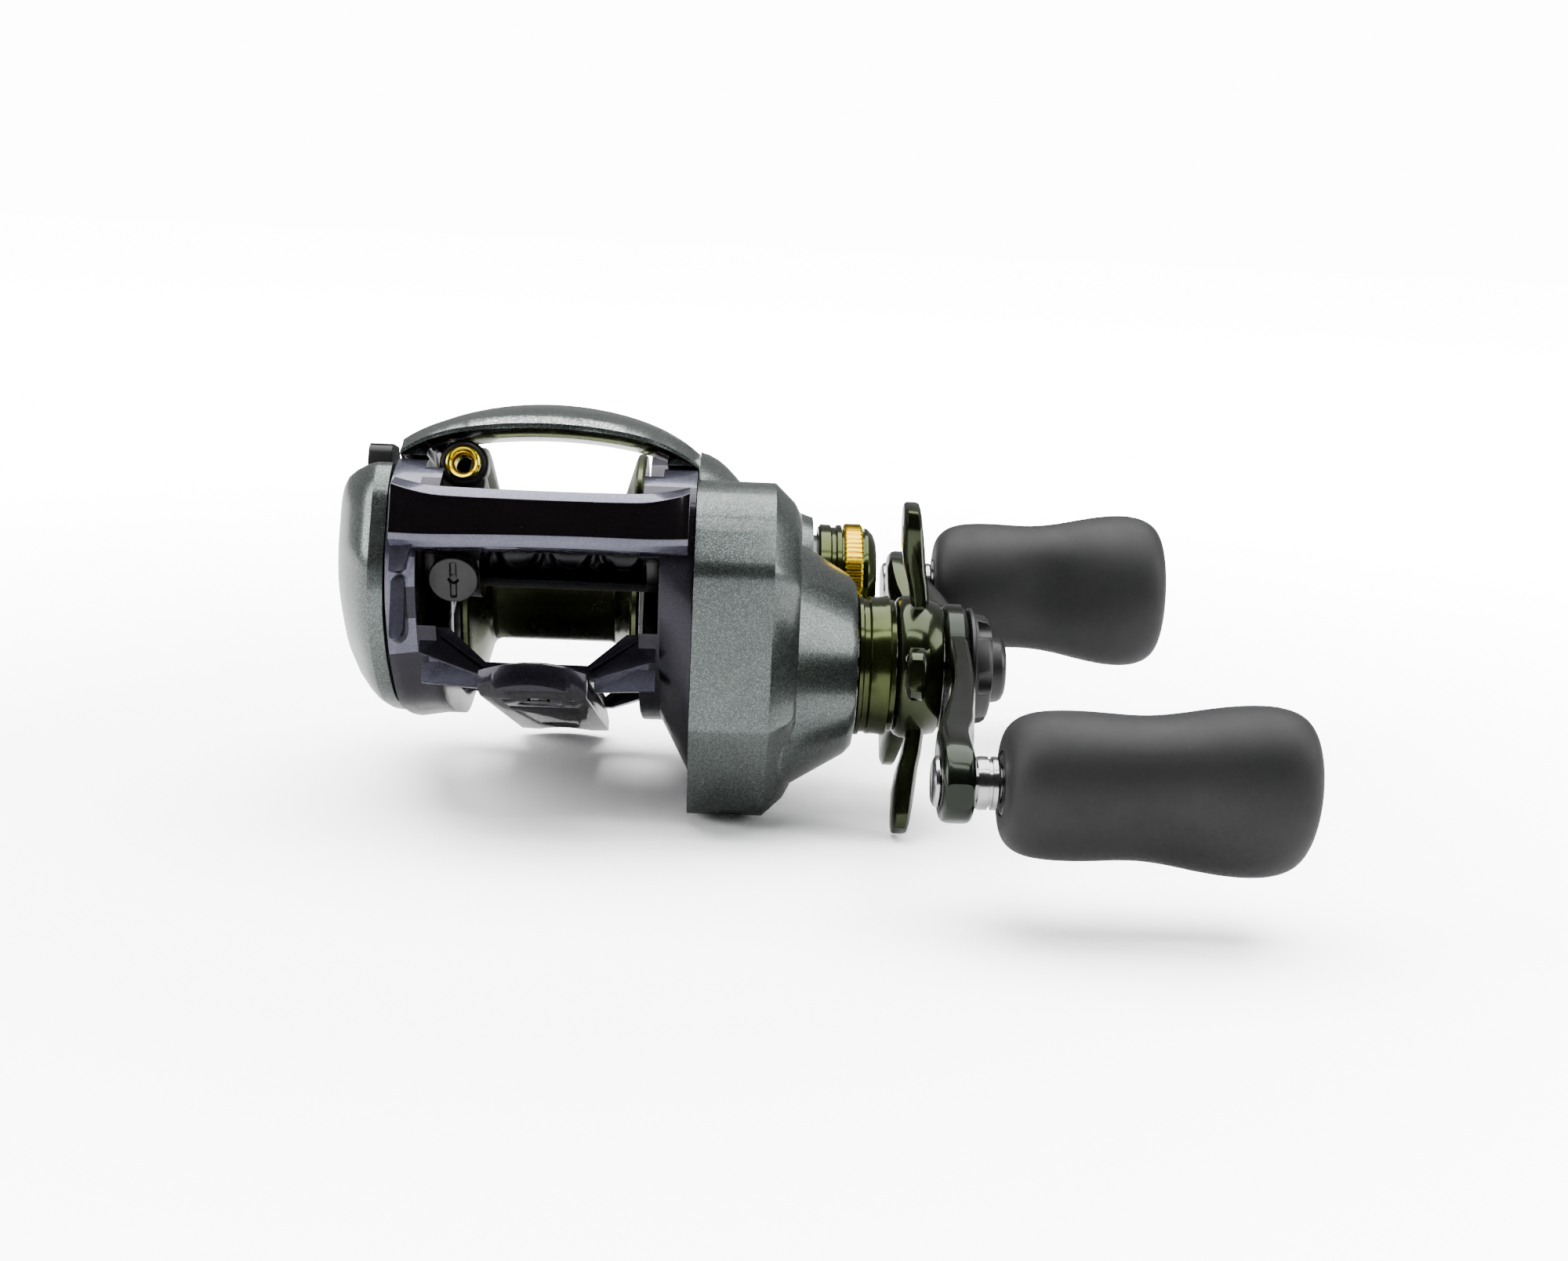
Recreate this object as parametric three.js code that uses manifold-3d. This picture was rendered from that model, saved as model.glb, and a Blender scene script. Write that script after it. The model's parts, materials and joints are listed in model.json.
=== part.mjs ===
// A low-profile baitcasting reel, in millimetres, +Z up.
//
// The reel stands as it does on a table: its nose is raised, and it rests on the rear end of its
// foot and on the chin of its gear side cover. Every piece is drawn in the reel's own level frame,
// where the foot is level, the spool's axis is the X axis, +Y is to the rear and +Z is up. One group
// then pitches the whole reel, and its origin is the middle of the foot's flat underside.

import * as THREE from "three";
import { mergeVertices } from "three/addons/utils/BufferGeometryUtils.js";
import Module from "manifold-3d";

const wasm = await Module();
wasm.setup();

// Driving dimensions
const GAP = 0.3; // between pieces that touch or nest
const PITCH = THREE.MathUtils.degToRad(18.7); // nose-up pitch on the table

const SPOOL = { y: 0, z: 0 }; // the spool's axis
const DRIVE = { y: -13.8, z: -12.9 }; // the crank's axis
const MAIN = { module: 0.3, drive: 111, pinion: 15 }; // spool gears
const WIND = { module: 0.5, drive: 20, idle: 13, worm: 19 }; // level-wind gears, in line
const WIND_REACH = WIND.module * (WIND.drive / 2 + WIND.idle + WIND.worm / 2);
const WIND_LEAN = THREE.MathUtils.degToRad(135.2); // direction from crank to worm
const WORM = along(DRIVE, WIND_LEAN, WIND_REACH);
const IDLE = along(DRIVE, WIND_LEAN, (WIND.module * (WIND.drive + WIND.idle)) / 2);
const FOOT = { x: 6.4, front: -38, rear: 27.4, top: -17.7, bottom: -20.2, land: -5 };

const WALL = 12.3; // inner faces of the frame's sides
const NOSE_WALL = 14.6; // inner faces of the sides beside the line guide
const SEAM_PALM = -18.2;
const SEAM_GEAR = 18.7;
const SPOOL_BORE = 16.9;
const SPOOL_FLANGE = 16.3;
const SPOOL_HALF = 11.6;
const BARREL = 9.6;

const CRANK_REACH = 42;
const CRANK_ANGLE = THREE.MathUtils.degToRad(94.6); // front end, from up, towards the front
const KNOB = { from: 53.9, to: 88.6, turnFront: 146.7, turnRear: 96.7 }; // turns of the wide axis, from +Y
const STAR = { arms: 5, reach: 22, first: 8 };
const GUIDE_X = -10.3; // the line guide stands at the palm end of its travel
const RING = { y: -27.2, z: 8.8 };
const ROUND = 28; // segments of a large round piece
const SMALL = 14; // segments of a small one

// Finishes
const finish = (color, roughness, metalness) => () =>
  new THREE.MeshStandardMaterial({ color, roughness, metalness });
const pearl = finish(0x82888a, 0.32, 0.6);
const violet = finish(0x2c2830, 0.2, 0.6);
const olive = finish(0x4a5238, 0.22, 0.9);
const crankGreen = finish(0x3a4038, 0.35, 0.8);
const gold = finish(0xffc81e, 0.2, 1);
const blackPlastic = finish(0x1c1c1e, 0.5, 0);
const rubber = finish(0x2c2c2f, 0.75, 0);
const steel = finish(0xb8babd, 0.2, 1);
const brass = finish(0xc8a24a, 0.3, 1);
const friction = finish(0x3a3836, 0.85, 0);

const reel = new THREE.Group();
const level = new THREE.Group();
reel.add(level);

// ---- helpers -----------------------------------------------------------------------------------

// The point at a distance from a centre, at an angle from +Y towards +Z.
function along(centre, angle, distance) {
  return { y: centre.y + distance * Math.cos(angle), z: centre.z + distance * Math.sin(angle) };
}

// The outward direction at an angle from up, towards the front, on the table.
function tableDirection(angle) {
  return { y: -Math.sin(angle + PITCH), z: Math.cos(angle + PITCH) };
}

// A closed geometry as a solid, with its faces pointing out.
function solid(geometry) {
  geometry.deleteAttribute("normal");
  geometry.deleteAttribute("uv");
  const merged = mergeVertices(geometry, 1e-4);
  const points = merged.attributes.position.array;
  const triangles = Array.from(merged.index.array);
  const corner = (i) => new THREE.Vector3().fromArray(points, 3 * i);
  const kept = [];
  let volume = 0;
  for (let i = 0; i < triangles.length; i += 3) {
    const [a, b, c] = triangles.slice(i, i + 3);
    if (a === b || b === c || a === c) continue;
    volume += corner(a).dot(corner(b).cross(corner(c)));
    kept.push([a, b, c]);
  }
  const wound = kept.flatMap(([a, b, c]) => (volume < 0 ? [a, c, b] : [a, b, c]));
  const mesh = new wasm.Mesh({
    numProp: 3,
    vertProperties: new Float32Array(points),
    triVerts: new Uint32Array(wound),
  });
  return new wasm.Manifold(mesh);
}

function union(...pieces) {
  return pieces.reduce((whole, piece) => whole.add(piece));
}

function cut(whole, ...tools) {
  return tools.reduce((rest, tool) => rest.subtract(tool), whole);
}

// Adds one finished piece to the reel.
function add(name, body, material) {
  const mesh = body.getMesh();
  const geometry = new THREE.BufferGeometry();
  geometry.setAttribute("position", new THREE.BufferAttribute(mesh.vertProperties, 3));
  geometry.setIndex(new THREE.BufferAttribute(mesh.triVerts, 1));
  geometry.computeVertexNormals();
  const piece = new THREE.Mesh(geometry, material());
  piece.name = name;
  level.add(piece);
}

const axes = (x, y, z) =>
  new THREE.Matrix4().makeBasis(new THREE.Vector3(...x), new THREE.Vector3(...y), new THREE.Vector3(...z));
const SIDE_VIEW = axes([0, 1, 0], [0, 0, 1], [1, 0, 0]); // drawn in Y and Z, extruded along X
const FRONT_VIEW = axes([1, 0, 0], [0, 0, 1], [0, -1, 0]); // drawn in X and Z, extruded along -Y
const TURNED = axes([0, 1, 0], [1, 0, 0], [0, 0, -1]); // turned about X

const shapeOf = (points) => new THREE.Shape(points.map(([a, b]) => new THREE.Vector2(a, b)));

// A slab with its outline in Y and Z, between two X planes.
function slab(points, x0, x1) {
  const geometry = new THREE.ExtrudeGeometry(shapeOf(points), { depth: x1 - x0, bevelEnabled: false });
  return solid(geometry.applyMatrix4(SIDE_VIEW).translate(x0, 0, 0));
}

// A slab with its outline in X and Z, between two Y planes.
function frontSlab(points, y0, y1) {
  const geometry = new THREE.ExtrudeGeometry(shapeOf(points), { depth: y1 - y0, bevelEnabled: false });
  return solid(geometry.applyMatrix4(FRONT_VIEW).translate(0, y1, 0));
}

function block(x0, x1, y0, y1, z0, z1) {
  const geometry = new THREE.BoxGeometry(x1 - x0, y1 - y0, z1 - z0);
  return solid(geometry.translate((x0 + x1) / 2, (y0 + y1) / 2, (z0 + z1) / 2));
}

// A piece turned about an axis along X. The profile is a list of [x, radius].
function turned(profile, axis, segments = ROUND) {
  const points = profile.map(([x, radius]) => new THREE.Vector2(radius, x));
  const geometry = new THREE.LatheGeometry(points, segments);
  return solid(geometry.applyMatrix4(TURNED).translate(0, axis.y, axis.z));
}

function rod(axis, radius, x0, x1, segments = SMALL) {
  return turned([[x0, 0], [x0, radius], [x1, radius], [x1, 0]], axis, segments);
}

function ring(axis, inner, outer, x0, x1, segments = ROUND) {
  return turned([[x0, inner], [x0, outer], [x1, outer], [x1, inner], [x0, inner]], axis, segments);
}

// A rod along any line.
function pin(from, to, radius, segments = SMALL) {
  const start = new THREE.Vector3(...from);
  const end = new THREE.Vector3(...to);
  const geometry = new THREE.CylinderGeometry(radius, radius, start.distanceTo(end), segments);
  const turn = new THREE.Quaternion();
  turn.setFromUnitVectors(new THREE.Vector3(0, 1, 0), end.clone().sub(start).normalize());
  const middle = start.clone().add(end).multiplyScalar(0.5);
  return solid(geometry.applyQuaternion(turn).translate(middle.x, middle.y, middle.z));
}

// Where rays from a centre leave a rounded outline.
function rays(corners, centre, count, radius = 2.5) {
  const path = new THREE.Path();
  const n = corners.length;
  corners.forEach(([y, z], i) => {
    const here = new THREE.Vector2(y, z);
    const before = new THREE.Vector2(...corners[(i + n - 1) % n]);
    const after = new THREE.Vector2(...corners[(i + 1) % n]);
    const reach = (other) => Math.min(radius, here.distanceTo(other) * 0.45);
    const start = here.clone().add(before.clone().sub(here).setLength(reach(before)));
    const end = here.clone().add(after.clone().sub(here).setLength(reach(after)));
    if (i === 0) path.moveTo(start.x, start.y);
    else path.lineTo(start.x, start.y);
    path.quadraticCurveTo(here.x, here.y, end.x, end.y);
  });
  const outline = path.getPoints(4);
  const result = [];
  for (let k = 0; k < count; k++) {
    const angle = (2 * Math.PI * k) / count;
    const way = new THREE.Vector2(Math.cos(angle), Math.sin(angle));
    let best = 0;
    outline.forEach((a, i) => {
      const b = outline[(i + 1) % outline.length];
      const side = b.clone().sub(a);
      const from = new THREE.Vector2(a.x - centre.y, a.y - centre.z);
      const denominator = way.cross(side);
      if (Math.abs(denominator) < 1e-9) return;
      const t = from.cross(side) / denominator;
      const s = from.cross(way) / denominator;
      if (s >= -1e-9 && s <= 1 + 1e-9 && t > best) best = t;
    });
    result.push([centre.y + best * way.x, centre.z + best * way.y]);
  }
  return result;
}

// The points where rays from a centre leave a circle about another centre.
function circleRays(circle, radius, centre, count) {
  const result = [];
  for (let k = 0; k < count; k++) {
    const angle = (2 * Math.PI * k) / count;
    const [cy, cz] = [Math.cos(angle), Math.sin(angle)];
    const [dy, dz] = [centre.y - circle.y, centre.z - circle.z];
    const b = cy * dy + cz * dz;
    const t = -b + Math.sqrt(b * b - dy * dy - dz * dz + radius * radius);
    result.push([centre.y + t * cy, centre.z + t * cz]);
  }
  return result;
}

// An outline moved towards a centre by a distance.
function inset(points, centre, distance) {
  return points.map(([y, z]) => {
    const length = Math.hypot(y - centre.y, z - centre.z);
    const k = (length - distance) / length;
    return [centre.y + (y - centre.y) * k, centre.z + (z - centre.z) * k];
  });
}

// A skin over outlines with the same number of points, each at its own X plane.
function loft(sections) {
  const area = THREE.ShapeUtils.area(sections[0][1].map(([y, z]) => new THREE.Vector2(y, z)));
  const stations = sections.map(([x, points]) => [x, area < 0 ? [...points].reverse() : points]);
  const n = stations[0][1].length;
  const corners = stations.flatMap(([x, points]) => points.map(([y, z]) => [x, y, z]));
  const faces = [];
  for (let s = 0; s + 1 < stations.length; s++) {
    for (let i = 0; i < n; i++) {
      const [a, b] = [s * n + i, s * n + ((i + 1) % n)];
      faces.push([a, b, b + n], [a, b + n, a + n]);
    }
  }
  const cap = (points, start, flip) => {
    const flat = points.map(([y, z]) => new THREE.Vector2(y, z));
    THREE.ShapeUtils.triangulateShape(flat, []).forEach(([a, b, c]) => {
      faces.push(flip ? [start + a, start + c, start + b] : [start + a, start + b, start + c]);
    });
  };
  cap(stations[0][1], 0, true);
  cap(stations.at(-1)[1], (stations.length - 1) * n, false);
  const geometry = new THREE.BufferGeometry();
  geometry.setAttribute("position", new THREE.Float32BufferAttribute(corners.flat(), 3));
  geometry.setIndex(faces.flat());
  return solid(geometry);
}

// A spur gear's outline. A tooth or a gap points along the mesh direction.
function gearOutline(axis, module, teeth, towards, gapThere) {
  const pitch = (Math.PI * 2) / teeth;
  const radius = (module * teeth) / 2;
  const [root, tip] = [radius - 1.15 * module, radius + 0.8 * module];
  const start = towards + (gapThere ? pitch / 2 : 0);
  const points = [];
  for (let i = 0; i < teeth; i++) {
    const middle = start + i * pitch;
    const pointed = [[0, tip], [0.5, root]];
    const flat = [[-0.27, root], [-0.1, tip], [0.1, tip], [0.27, root]];
    const flanks = teeth > 100 ? pointed : flat;
    flanks.forEach(([part, r]) => {
      const point = along(axis, middle + part * pitch, r);
      points.push([point.y, point.z]);
    });
  }
  return points;
}

// ---- frame -------------------------------------------------------------------------------------

const BODY_CENTRE = { y: -5, z: -3 };
const RING_RAYS = 52;

// The side rings' outline, with a shoulder that covers the spool, sunk at its top towards the seams.
function ringOutline(drop, grow) {
  const corners = [[-35.6, -3], [-34.9, 4], [-31.4, 7.4], [-28.4, 9.4], [-13.2, 9.4]];
  corners.push([-10.3, 13.2 - drop], [-6, 16.6 - drop], [0, 17.9 - drop], [7, 16.5 - drop]);
  corners.push([13, 12.6 - drop / 2], [17.6, 5.7], [20.3, -2], [20.2, -9], [17, -15 - grow / 3]);
  corners.push([8, -19.6 - grow * 0.8], [-6, -20.3 - grow], [-18, -20 - grow], [-28, -15 - grow * 0.7]);
  corners.push([-34, -9 - grow / 4]);
  return corners;
}

function ringSide(x0, x1, dropEnd, growEnd) {
  const from = rays(ringOutline(0, 0), BODY_CENTRE, RING_RAYS);
  const to = rays(ringOutline(dropEnd, growEnd), BODY_CENTRE, RING_RAYS);
  return loft([[x0, from], [x0 + (x1 - x0) * 0.45, from], [x1, to]].sort((a, b) => a[0] - b[0]));
}

// One slanted strut between a side ring and the pad over the foot.
function strut(side, y0, y1) {
  const points = [[12.8, -12], [14.4, -12], [14.4, -14.4], [7.4, -17.4], [4, -17.4], [4, -15.9], [6.2, -15.9]];
  return frontSlab(points.map(([x, z]) => [x * side, z]), y0, y1);
}

// The thin wall under the front strut.
function web(side) {
  const points = [[11.4, -13], [14.4, -12], [14.4, -18.2], [6.9, -18.6], [6.9, -17]];
  return frontSlab(points.map(([x, z]) => [x * side, z]), -26, -24.2);
}

const PAD_FRONT = -29.6;
const CROSSBAR = [
  [-36.9, -2.3], [-37.3, -1.6], [-37.3, 3.3], [-36, 4.6], [-32, 4.6], [-31, 3.5],
  [-31, -2.3], [-32, -3], [-36, -3],
];

function makeFrame() {
  const palm = ringSide(-WALL, SEAM_PALM, 0.8, 0.5);
  const gear = ringSide(WALL, SEAM_GEAR, 0.8, 7);
  const bar = slab(CROSSBAR, SEAM_PALM + 1.2, SEAM_GEAR - 1.2);
  const pad = block(-6.2, 6.2, PAD_FRONT, 21.8, -17.4, -15.9);
  const struts = [-1, 1].flatMap((side) => [strut(side, -29.4, -23.5), strut(side, 15.6, 19), web(side)]);
  const body = union(palm, gear, bar, pad, ...struts);
  const gearRoom = loft([
    [WALL + 2.2, inset(rays(ringOutline(3, 0), BODY_CENTRE, RING_RAYS), BODY_CENTRE, 2.2)],
    [SEAM_GEAR + 1, inset(rays(ringOutline(4, 6), BODY_CENTRE, RING_RAYS), BODY_CENTRE, 2)],
  ]);
  return cut(
    body,
    rod(SPOOL, SPOOL_BORE, SEAM_PALM - 1, -WALL + 1, 60),
    rod(SPOOL, 8.2, WALL - 1, WALL + 4, ROUND),
    block(-NOSE_WALL, NOSE_WALL, -30.9, -18.6, -11.9, 20),
    gearRoom,
    block(-NOSE_WALL, NOSE_WALL, -40, -30.8, -11.9, -3.1),
    rod(WORM, 2.4, WALL, WALL + 4),
    rod(GUIDE_ROD, 1.5, -NOSE_WALL - 1.4, NOSE_WALL + 1.4),
    rod(WORM, 2.4, -NOSE_WALL - 2, -NOSE_WALL + 1),
    ...FOOT_SCREWS.map((y) => pin([0, y, -21], [0, y, -14], 1.5)),
    block(-5.4, 5.4, 21.5, 30, -16.5, -12)
  );
}

const GUIDE_ROD = { y: -22.2, z: 4.6 };
const FOOT_SCREWS = [-22, 13];

// ---- foot --------------------------------------------------------------------------------------

// A bar along the foot whose round side stands for the foot's crown or for the hollow under it.
const FOOT_ROUND = 19.5;
function footRound(front, rear) {
  return pin([0, front[0], front[1] - FOOT_ROUND], [0, rear[0], rear[1] - FOOT_ROUND], FOOT_ROUND, 56);
}

// The foot is flat in its middle. Its ends are thin and arched across, to sit on a round rod.
function makeFoot() {
  const middle = [[-31, FOOT.bottom], [FOOT.rear, FOOT.bottom], [FOOT.rear, -19.1]];
  middle.push([19, FOOT.top], [-31, FOOT.top]);
  const tab = [[FOOT.front, -18.9], [-36, FOOT.bottom], [FOOT_STEP, FOOT.bottom], [FOOT_STEP, -15.7]];
  tab.push([-33.5, -15.9], [FOOT.front, -17]);
  const crown = footRound([-39, -17.05], [-29, -15.75]);
  const plan = new THREE.Shape();
  const round = FOOT.x * 0.9;
  plan.moveTo(-FOOT.x, FOOT.front + round * 0.5);
  plan.quadraticCurveTo(0, FOOT.front - round * 0.5, FOOT.x, FOOT.front + round * 0.5);
  plan.lineTo(FOOT.x, FOOT.rear - round * 0.4);
  plan.quadraticCurveTo(0, FOOT.rear + round * 0.4, -FOOT.x, FOOT.rear - round * 0.4);
  const geometry = new THREE.ExtrudeGeometry(plan, { depth: 10, bevelEnabled: false, curveSegments: 10 });
  const outline = solid(geometry.translate(0, 0, FOOT.bottom - 3));
  const screwHoles = FOOT_SCREWS.flatMap((y) => [
    pin([0, y, -21], [0, y, -17], 1.5),
    pin([0, y, FOOT.bottom - 1], [0, y, FOOT.bottom + 1.3], 2.7),
  ]);
  const whole = union(slab(tab, -FOOT.x, FOOT.x).intersect(crown), slab(middle, -FOOT.x, FOOT.x));
  return cut(
    whole.intersect(outline),
    footRound([-40, -18], [-27, -20.4]),
    footRound([20, -20.4], [29, -19.7]),
    ...screwHoles
  );
}

const FOOT_STEP = PAD_FRONT - GAP;

function footScrew(y) {
  const head = pin([0, y, FOOT.bottom + 0.1], [0, y, FOOT.bottom + 1], 2.4);
  const shank = pin([0, y, FOOT.bottom + 0.9], [0, y, -15.2], 1.2);
  const drive = block(-1.3, 1.3, y - 0.3, y + 0.3, FOOT.bottom - 0.5, FOOT.bottom + 0.6);
  return cut(union(head, shank), drive);
}

// ---- hood and covers ---------------------------------------------------------------------------

const HOOD_ENDS = [-18.2, 18.7];

// How far the hood's crown falls at a distance from its highest point.
function archDrop(x) {
  const t = Math.abs(x) / 18.5;
  return 2.9 * t * t + 1.2 * t ** 6;
}

function hoodSection(x) {
  const d = archDrop(x);
  const thick = 1 - 0.32 * (x / 18.5) ** 2;
  const points = [[-29.9, 13.4], [-29.9, 14.3], [-25.4, 17.2], [-20.3, 18.5], [-12.2, 18.7]];
  points.push([-12, 16.4], [-19.5, 13.8], [-27, 13.1]);
  return points.map(([y, z]) => [y, (z - 14.3) * thick + 14.3 - d]);
}

function makeHood() {
  const steps = 16;
  const stations = [];
  for (let i = 0; i <= steps; i++) {
    const x = HOOD_ENDS[0] + ((HOOD_ENDS[1] - HOOD_ENDS[0]) * i) / steps;
    stations.push([x, hoodSection(x)]);
  }
  const hood = loft(stations);
  const ends = [hoodFoot(HOOD_ENDS[0], -NOSE_WALL - GAP), hoodFoot(NOSE_WALL + GAP, HOOD_ENDS[1])];
  return union(hood, ...ends);
}

// The hood's end stands on the frame's side.
function hoodFoot(x0, x1) {
  return slab([[-28.6, 9.7], [-14, 9.7], [-14, 12.6], [-21, 12.2], [-28, 10.4]], x0, x1);
}

const PALM_CENTRE = { y: -6, z: -4 };
const PALM_END = -27.3;

function palmOutline(shoulder) {
  const corners = [[-35.2, -4], [-34.4, 4.2], [-29.5, 8.2], [-12, 9], [-7, 9.6 + shoulder]];
  corners.push([0, 9.8 + shoulder * 1.1], [8, 9 + shoulder], [14.5, 7 + shoulder / 2], [19, 1], [20.4, -6]);
  corners.push([17, -14], [9, -19.6], [-8, -20.6], [-20, -20.2], [-29, -15.4], [-34, -10]);
  return rays(corners, PALM_CENTRE, 44, 3);
}

function makePalmCover() {
  const at = (x, share, shoulder) => [x, inset(palmOutline(shoulder), PALM_CENTRE, share)];
  const outer = loft([
    at(PALM_END, 11, 0), at(-27, 8.6, 0), at(-25.9, 5.2, 0), at(-24, 2.6, 0.6), at(-22, 1, 3.6),
    at(SEAM_PALM - GAP, 0, 6.6),
  ]);
  const inner = loft([at(-25.4, 12, 0), at(-24.2, 5.4, 0), at(-22, 3, 2.6), at(SEAM_PALM + 1, 1.9, 6.4)]);
  const bearingSeat = ring(SPOOL, 3.4, 5.2, -26, -22.4, SMALL);
  const dialSeat = rod(DIAL, 4.2, -29, -26.2, SMALL);
  const dialStem = rod(DIAL, 1.4, -29, -24, SMALL);
  const leverRoom = block(-26.5, -19.1, -27.4, -14.6, 6, 12);
  const body = cut(outer, inner, leverRoom, dialSeat, dialStem);
  return union(body, bearingSeat, leverRail());
}

const DIAL = { y: 4, z: -6 };

function makeDial() {
  const slot = block(-28, -26.8, DIAL.y - 3, DIAL.y + 3, DIAL.z - 0.4, DIAL.z + 0.4);
  return cut(rod(DIAL, 3.9, -27.1, -26.5), slot);
}

// The shelf that closes the lever's pocket inside the cover.
function leverRail() {
  return slab([[-29.5, 4], [-12.5, 4], [-12.5, 5.6], [-29.5, 5.6]], -23.6, -18.6);
}

function releaseLever() {
  const body = slab([[-26, 6], [-19, 6], [-19, 11.6], [-20, 12.2], [-25, 11.4], [-26, 10.4]], -22.6, -19.5);
  const ribs = [0, 1, 2, 3, 4, 5].map((i) => block(-23, -19, -25.4 + i * 1.05, -25 + i * 1.05, 10.6, 13));
  return cut(body, ...ribs);
}

const GEAR_CENTRE = { y: -12, z: -11 };
const GEAR_RAYS = 50;
const BAND_END = 28.5;
const CONE = { start: 31.5, end: 39.6, big: 15, small: 11 };

function gearOutlineRays(shoulder, shrink = 0) {
  const corners = [[-37.4, -4.6], [-34.6, 4.4], [-29, 8.3], [-14, 8.7 + shoulder * 0.3], [-7, 9.2 + shoulder]];
  corners.push([0, 9.4 + shoulder * 1.1], [8, 9 + shoulder * 0.8], [15, 6.8 + shoulder / 3], [20.6, 0], [21.4, -8]);
  corners.push([17.5, -17], [8, -25.2], [-3, -31], [-11.8, -33.5], [-17.5, -32.1], [-31.4, -23.5]);
  const points = rays(corners, GEAR_CENTRE, GEAR_RAYS, 2);
  return inset(points, GEAR_CENTRE, shrink);
}

const BOSS = { end: 34.4, radius: 9.2, neck: 6.2, neckEnd: 38.4 };

function makeGearCover() {
  const big = circleRays(DRIVE, CONE.big + 2.6, GEAR_CENTRE, GEAR_RAYS);
  const outer = loft([
    [SEAM_GEAR + GAP, gearOutlineRays(6.6)], [22, gearOutlineRays(5.2)], [24.2, gearOutlineRays(3)],
    [26.4, gearOutlineRays(0.3)],
    [BAND_END, gearOutlineRays(0, 0.4)], [29.8, gearOutlineRays(0, 2)], [31, gearOutlineRays(-1, 5)],
    [CONE.start + 0.1, big.map(([y, z], i) => blendPoint([y, z], gearOutlineRays(-1, 7)[i], 0.35))],
  ]);
  const cone = turned(
    [[BAND_END, 0], [BAND_END, 16.6], [CONE.start, CONE.big], [38.6, 11.5], [CONE.end, 10.3], [CONE.end, 0]],
    DRIVE, 48
  );
  const boss = turned(
    [[BAND_END, 0], [BAND_END, 11], [32.4, BOSS.radius], [BOSS.end, BOSS.radius - 0.6], [BOSS.end, BOSS.neck]]
      .concat([[BOSS.neckEnd, BOSS.neck], [BOSS.neckEnd, 0]]),
    SPOOL, 32
  );
  const room = loft([
    [SEAM_GEAR - 1, gearOutlineRays(6.4, 2)], [22, gearOutlineRays(4.6, 2)], [26.6, gearOutlineRays(-0.4, 2.2)],
  ]);
  return cut(
    union(outer, cone, boss),
    room,
    rod(DRIVE, 17.3, SEAM_GEAR, 27, 48),
    rod(SPOOL, 7.9, 26, 31.4, ROUND),
    rod(SPOOL, 8.3, BOSS.end + 0.1, 41, ROUND).subtract(rod(SPOOL, BOSS.neck, 30, 42, ROUND)),
    rod(DRIVE, 11.6, 26, 31.5, ROUND),
    rod(DRIVE, 8.2, 26, 38.2, ROUND),
    rod(DRIVE, 6.2, 26, 41, ROUND),
    rod(SPOOL, 4.9, 26, BOSS.neckEnd + 1, SMALL)
  );
}

function blendPoint([ya, za], [yb, zb], t) {
  return [ya + (yb - ya) * t, za + (zb - za) * t];
}

// ---- level wind --------------------------------------------------------------------------------

// The worm's guard is a tube with a row of windows, open all along the pawl's path.
function makeWormGuard() {
  const tube = ring(WORM, 3.5, 4.5, -NOSE_WALL + GAP, NOSE_WALL - GAP, ROUND);
  const pawlWay = block(-12.9, 12.9, WORM.y - 5, WORM.y + 0.4, WORM.z - 6, WORM.z - 0.6);
  const windows = [];
  for (let i = 0; i < 8; i++) {
    const x = -10.8 + i * 2.9;
    const points = [[x, WORM.z + 0.4], [x + 2, WORM.z + 0.4], [x + 1.6, WORM.z + 2.8], [x + 0.4, WORM.z + 2.8]];
    windows.push(frontSlab(points, WORM.y - 6, WORM.y));
  }
  return cut(tube, pawlWay, ...windows);
}

function makeWorm() {
  return turned(
    [[-15.9, 0], [-15.9, 1.4], [-13.9, 1.4], [-13.4, 2.4], [13.4, 2.4], [13.9, 1.4], [22, 1.4], [22, 0]],
    WORM, SMALL
  );
}

function windGear(axis, teeth, towards, gapThere, bore, x0, x1) {
  const body = slab(gearOutline(axis, WIND.module, teeth, towards, gapThere), x0, x1);
  return cut(body, rod(axis, bore, x0 - 1, x1 + 1));
}

const WIND_X = [19.4, 21.4];
const SET_PLATE_X = [16, 17.6];

// The carriage runs on the worm's guard and on the guide rod, and holds the ring and the pawl.
function makeCarriage() {
  const eye = pin([GUIDE_X, RING.y - 1.4, RING.z], [GUIDE_X, RING.y + 1.8, RING.z], 3, ROUND);
  const side = [[-28.4, 8], [-25.6, 8], [-20.4, 6.4], [-20.4, 2.6], [-24.2, 2.4], [-28.4, 2.8]];
  const stem = slab(side, GUIDE_X - 2.6, GUIDE_X + 2.6);
  const collar = ring(WORM, 4.8, 6, GUIDE_X - 2.8, GUIDE_X + 2.8, ROUND);
  const nose = pin([GUIDE_X, PAWL_NECK.y, PAWL_NECK.z], [GUIDE_X, PAWL_END.y, PAWL_END.z], 2.7, SMALL);
  const body = union(eye, stem, collar, nose);
  return cut(
    body,
    pin([GUIDE_X, RING.y - 3, RING.z], [GUIDE_X, RING.y + 3, RING.z], 2.15, SMALL),
    rod(GUIDE_ROD, 1.5, GUIDE_X - 4, GUIDE_X + 4),
    rod(WORM, 4.8, GUIDE_X - 4, GUIDE_X + 4, ROUND),
    pin([GUIDE_X, WORM.y, WORM.z], [GUIDE_X, PAWL_END.y - 0.6, PAWL_END.z - 0.6], 1.5, SMALL),
    block(-14, 14, -40, -30.7, -3.35, 5)
  );
}

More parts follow.
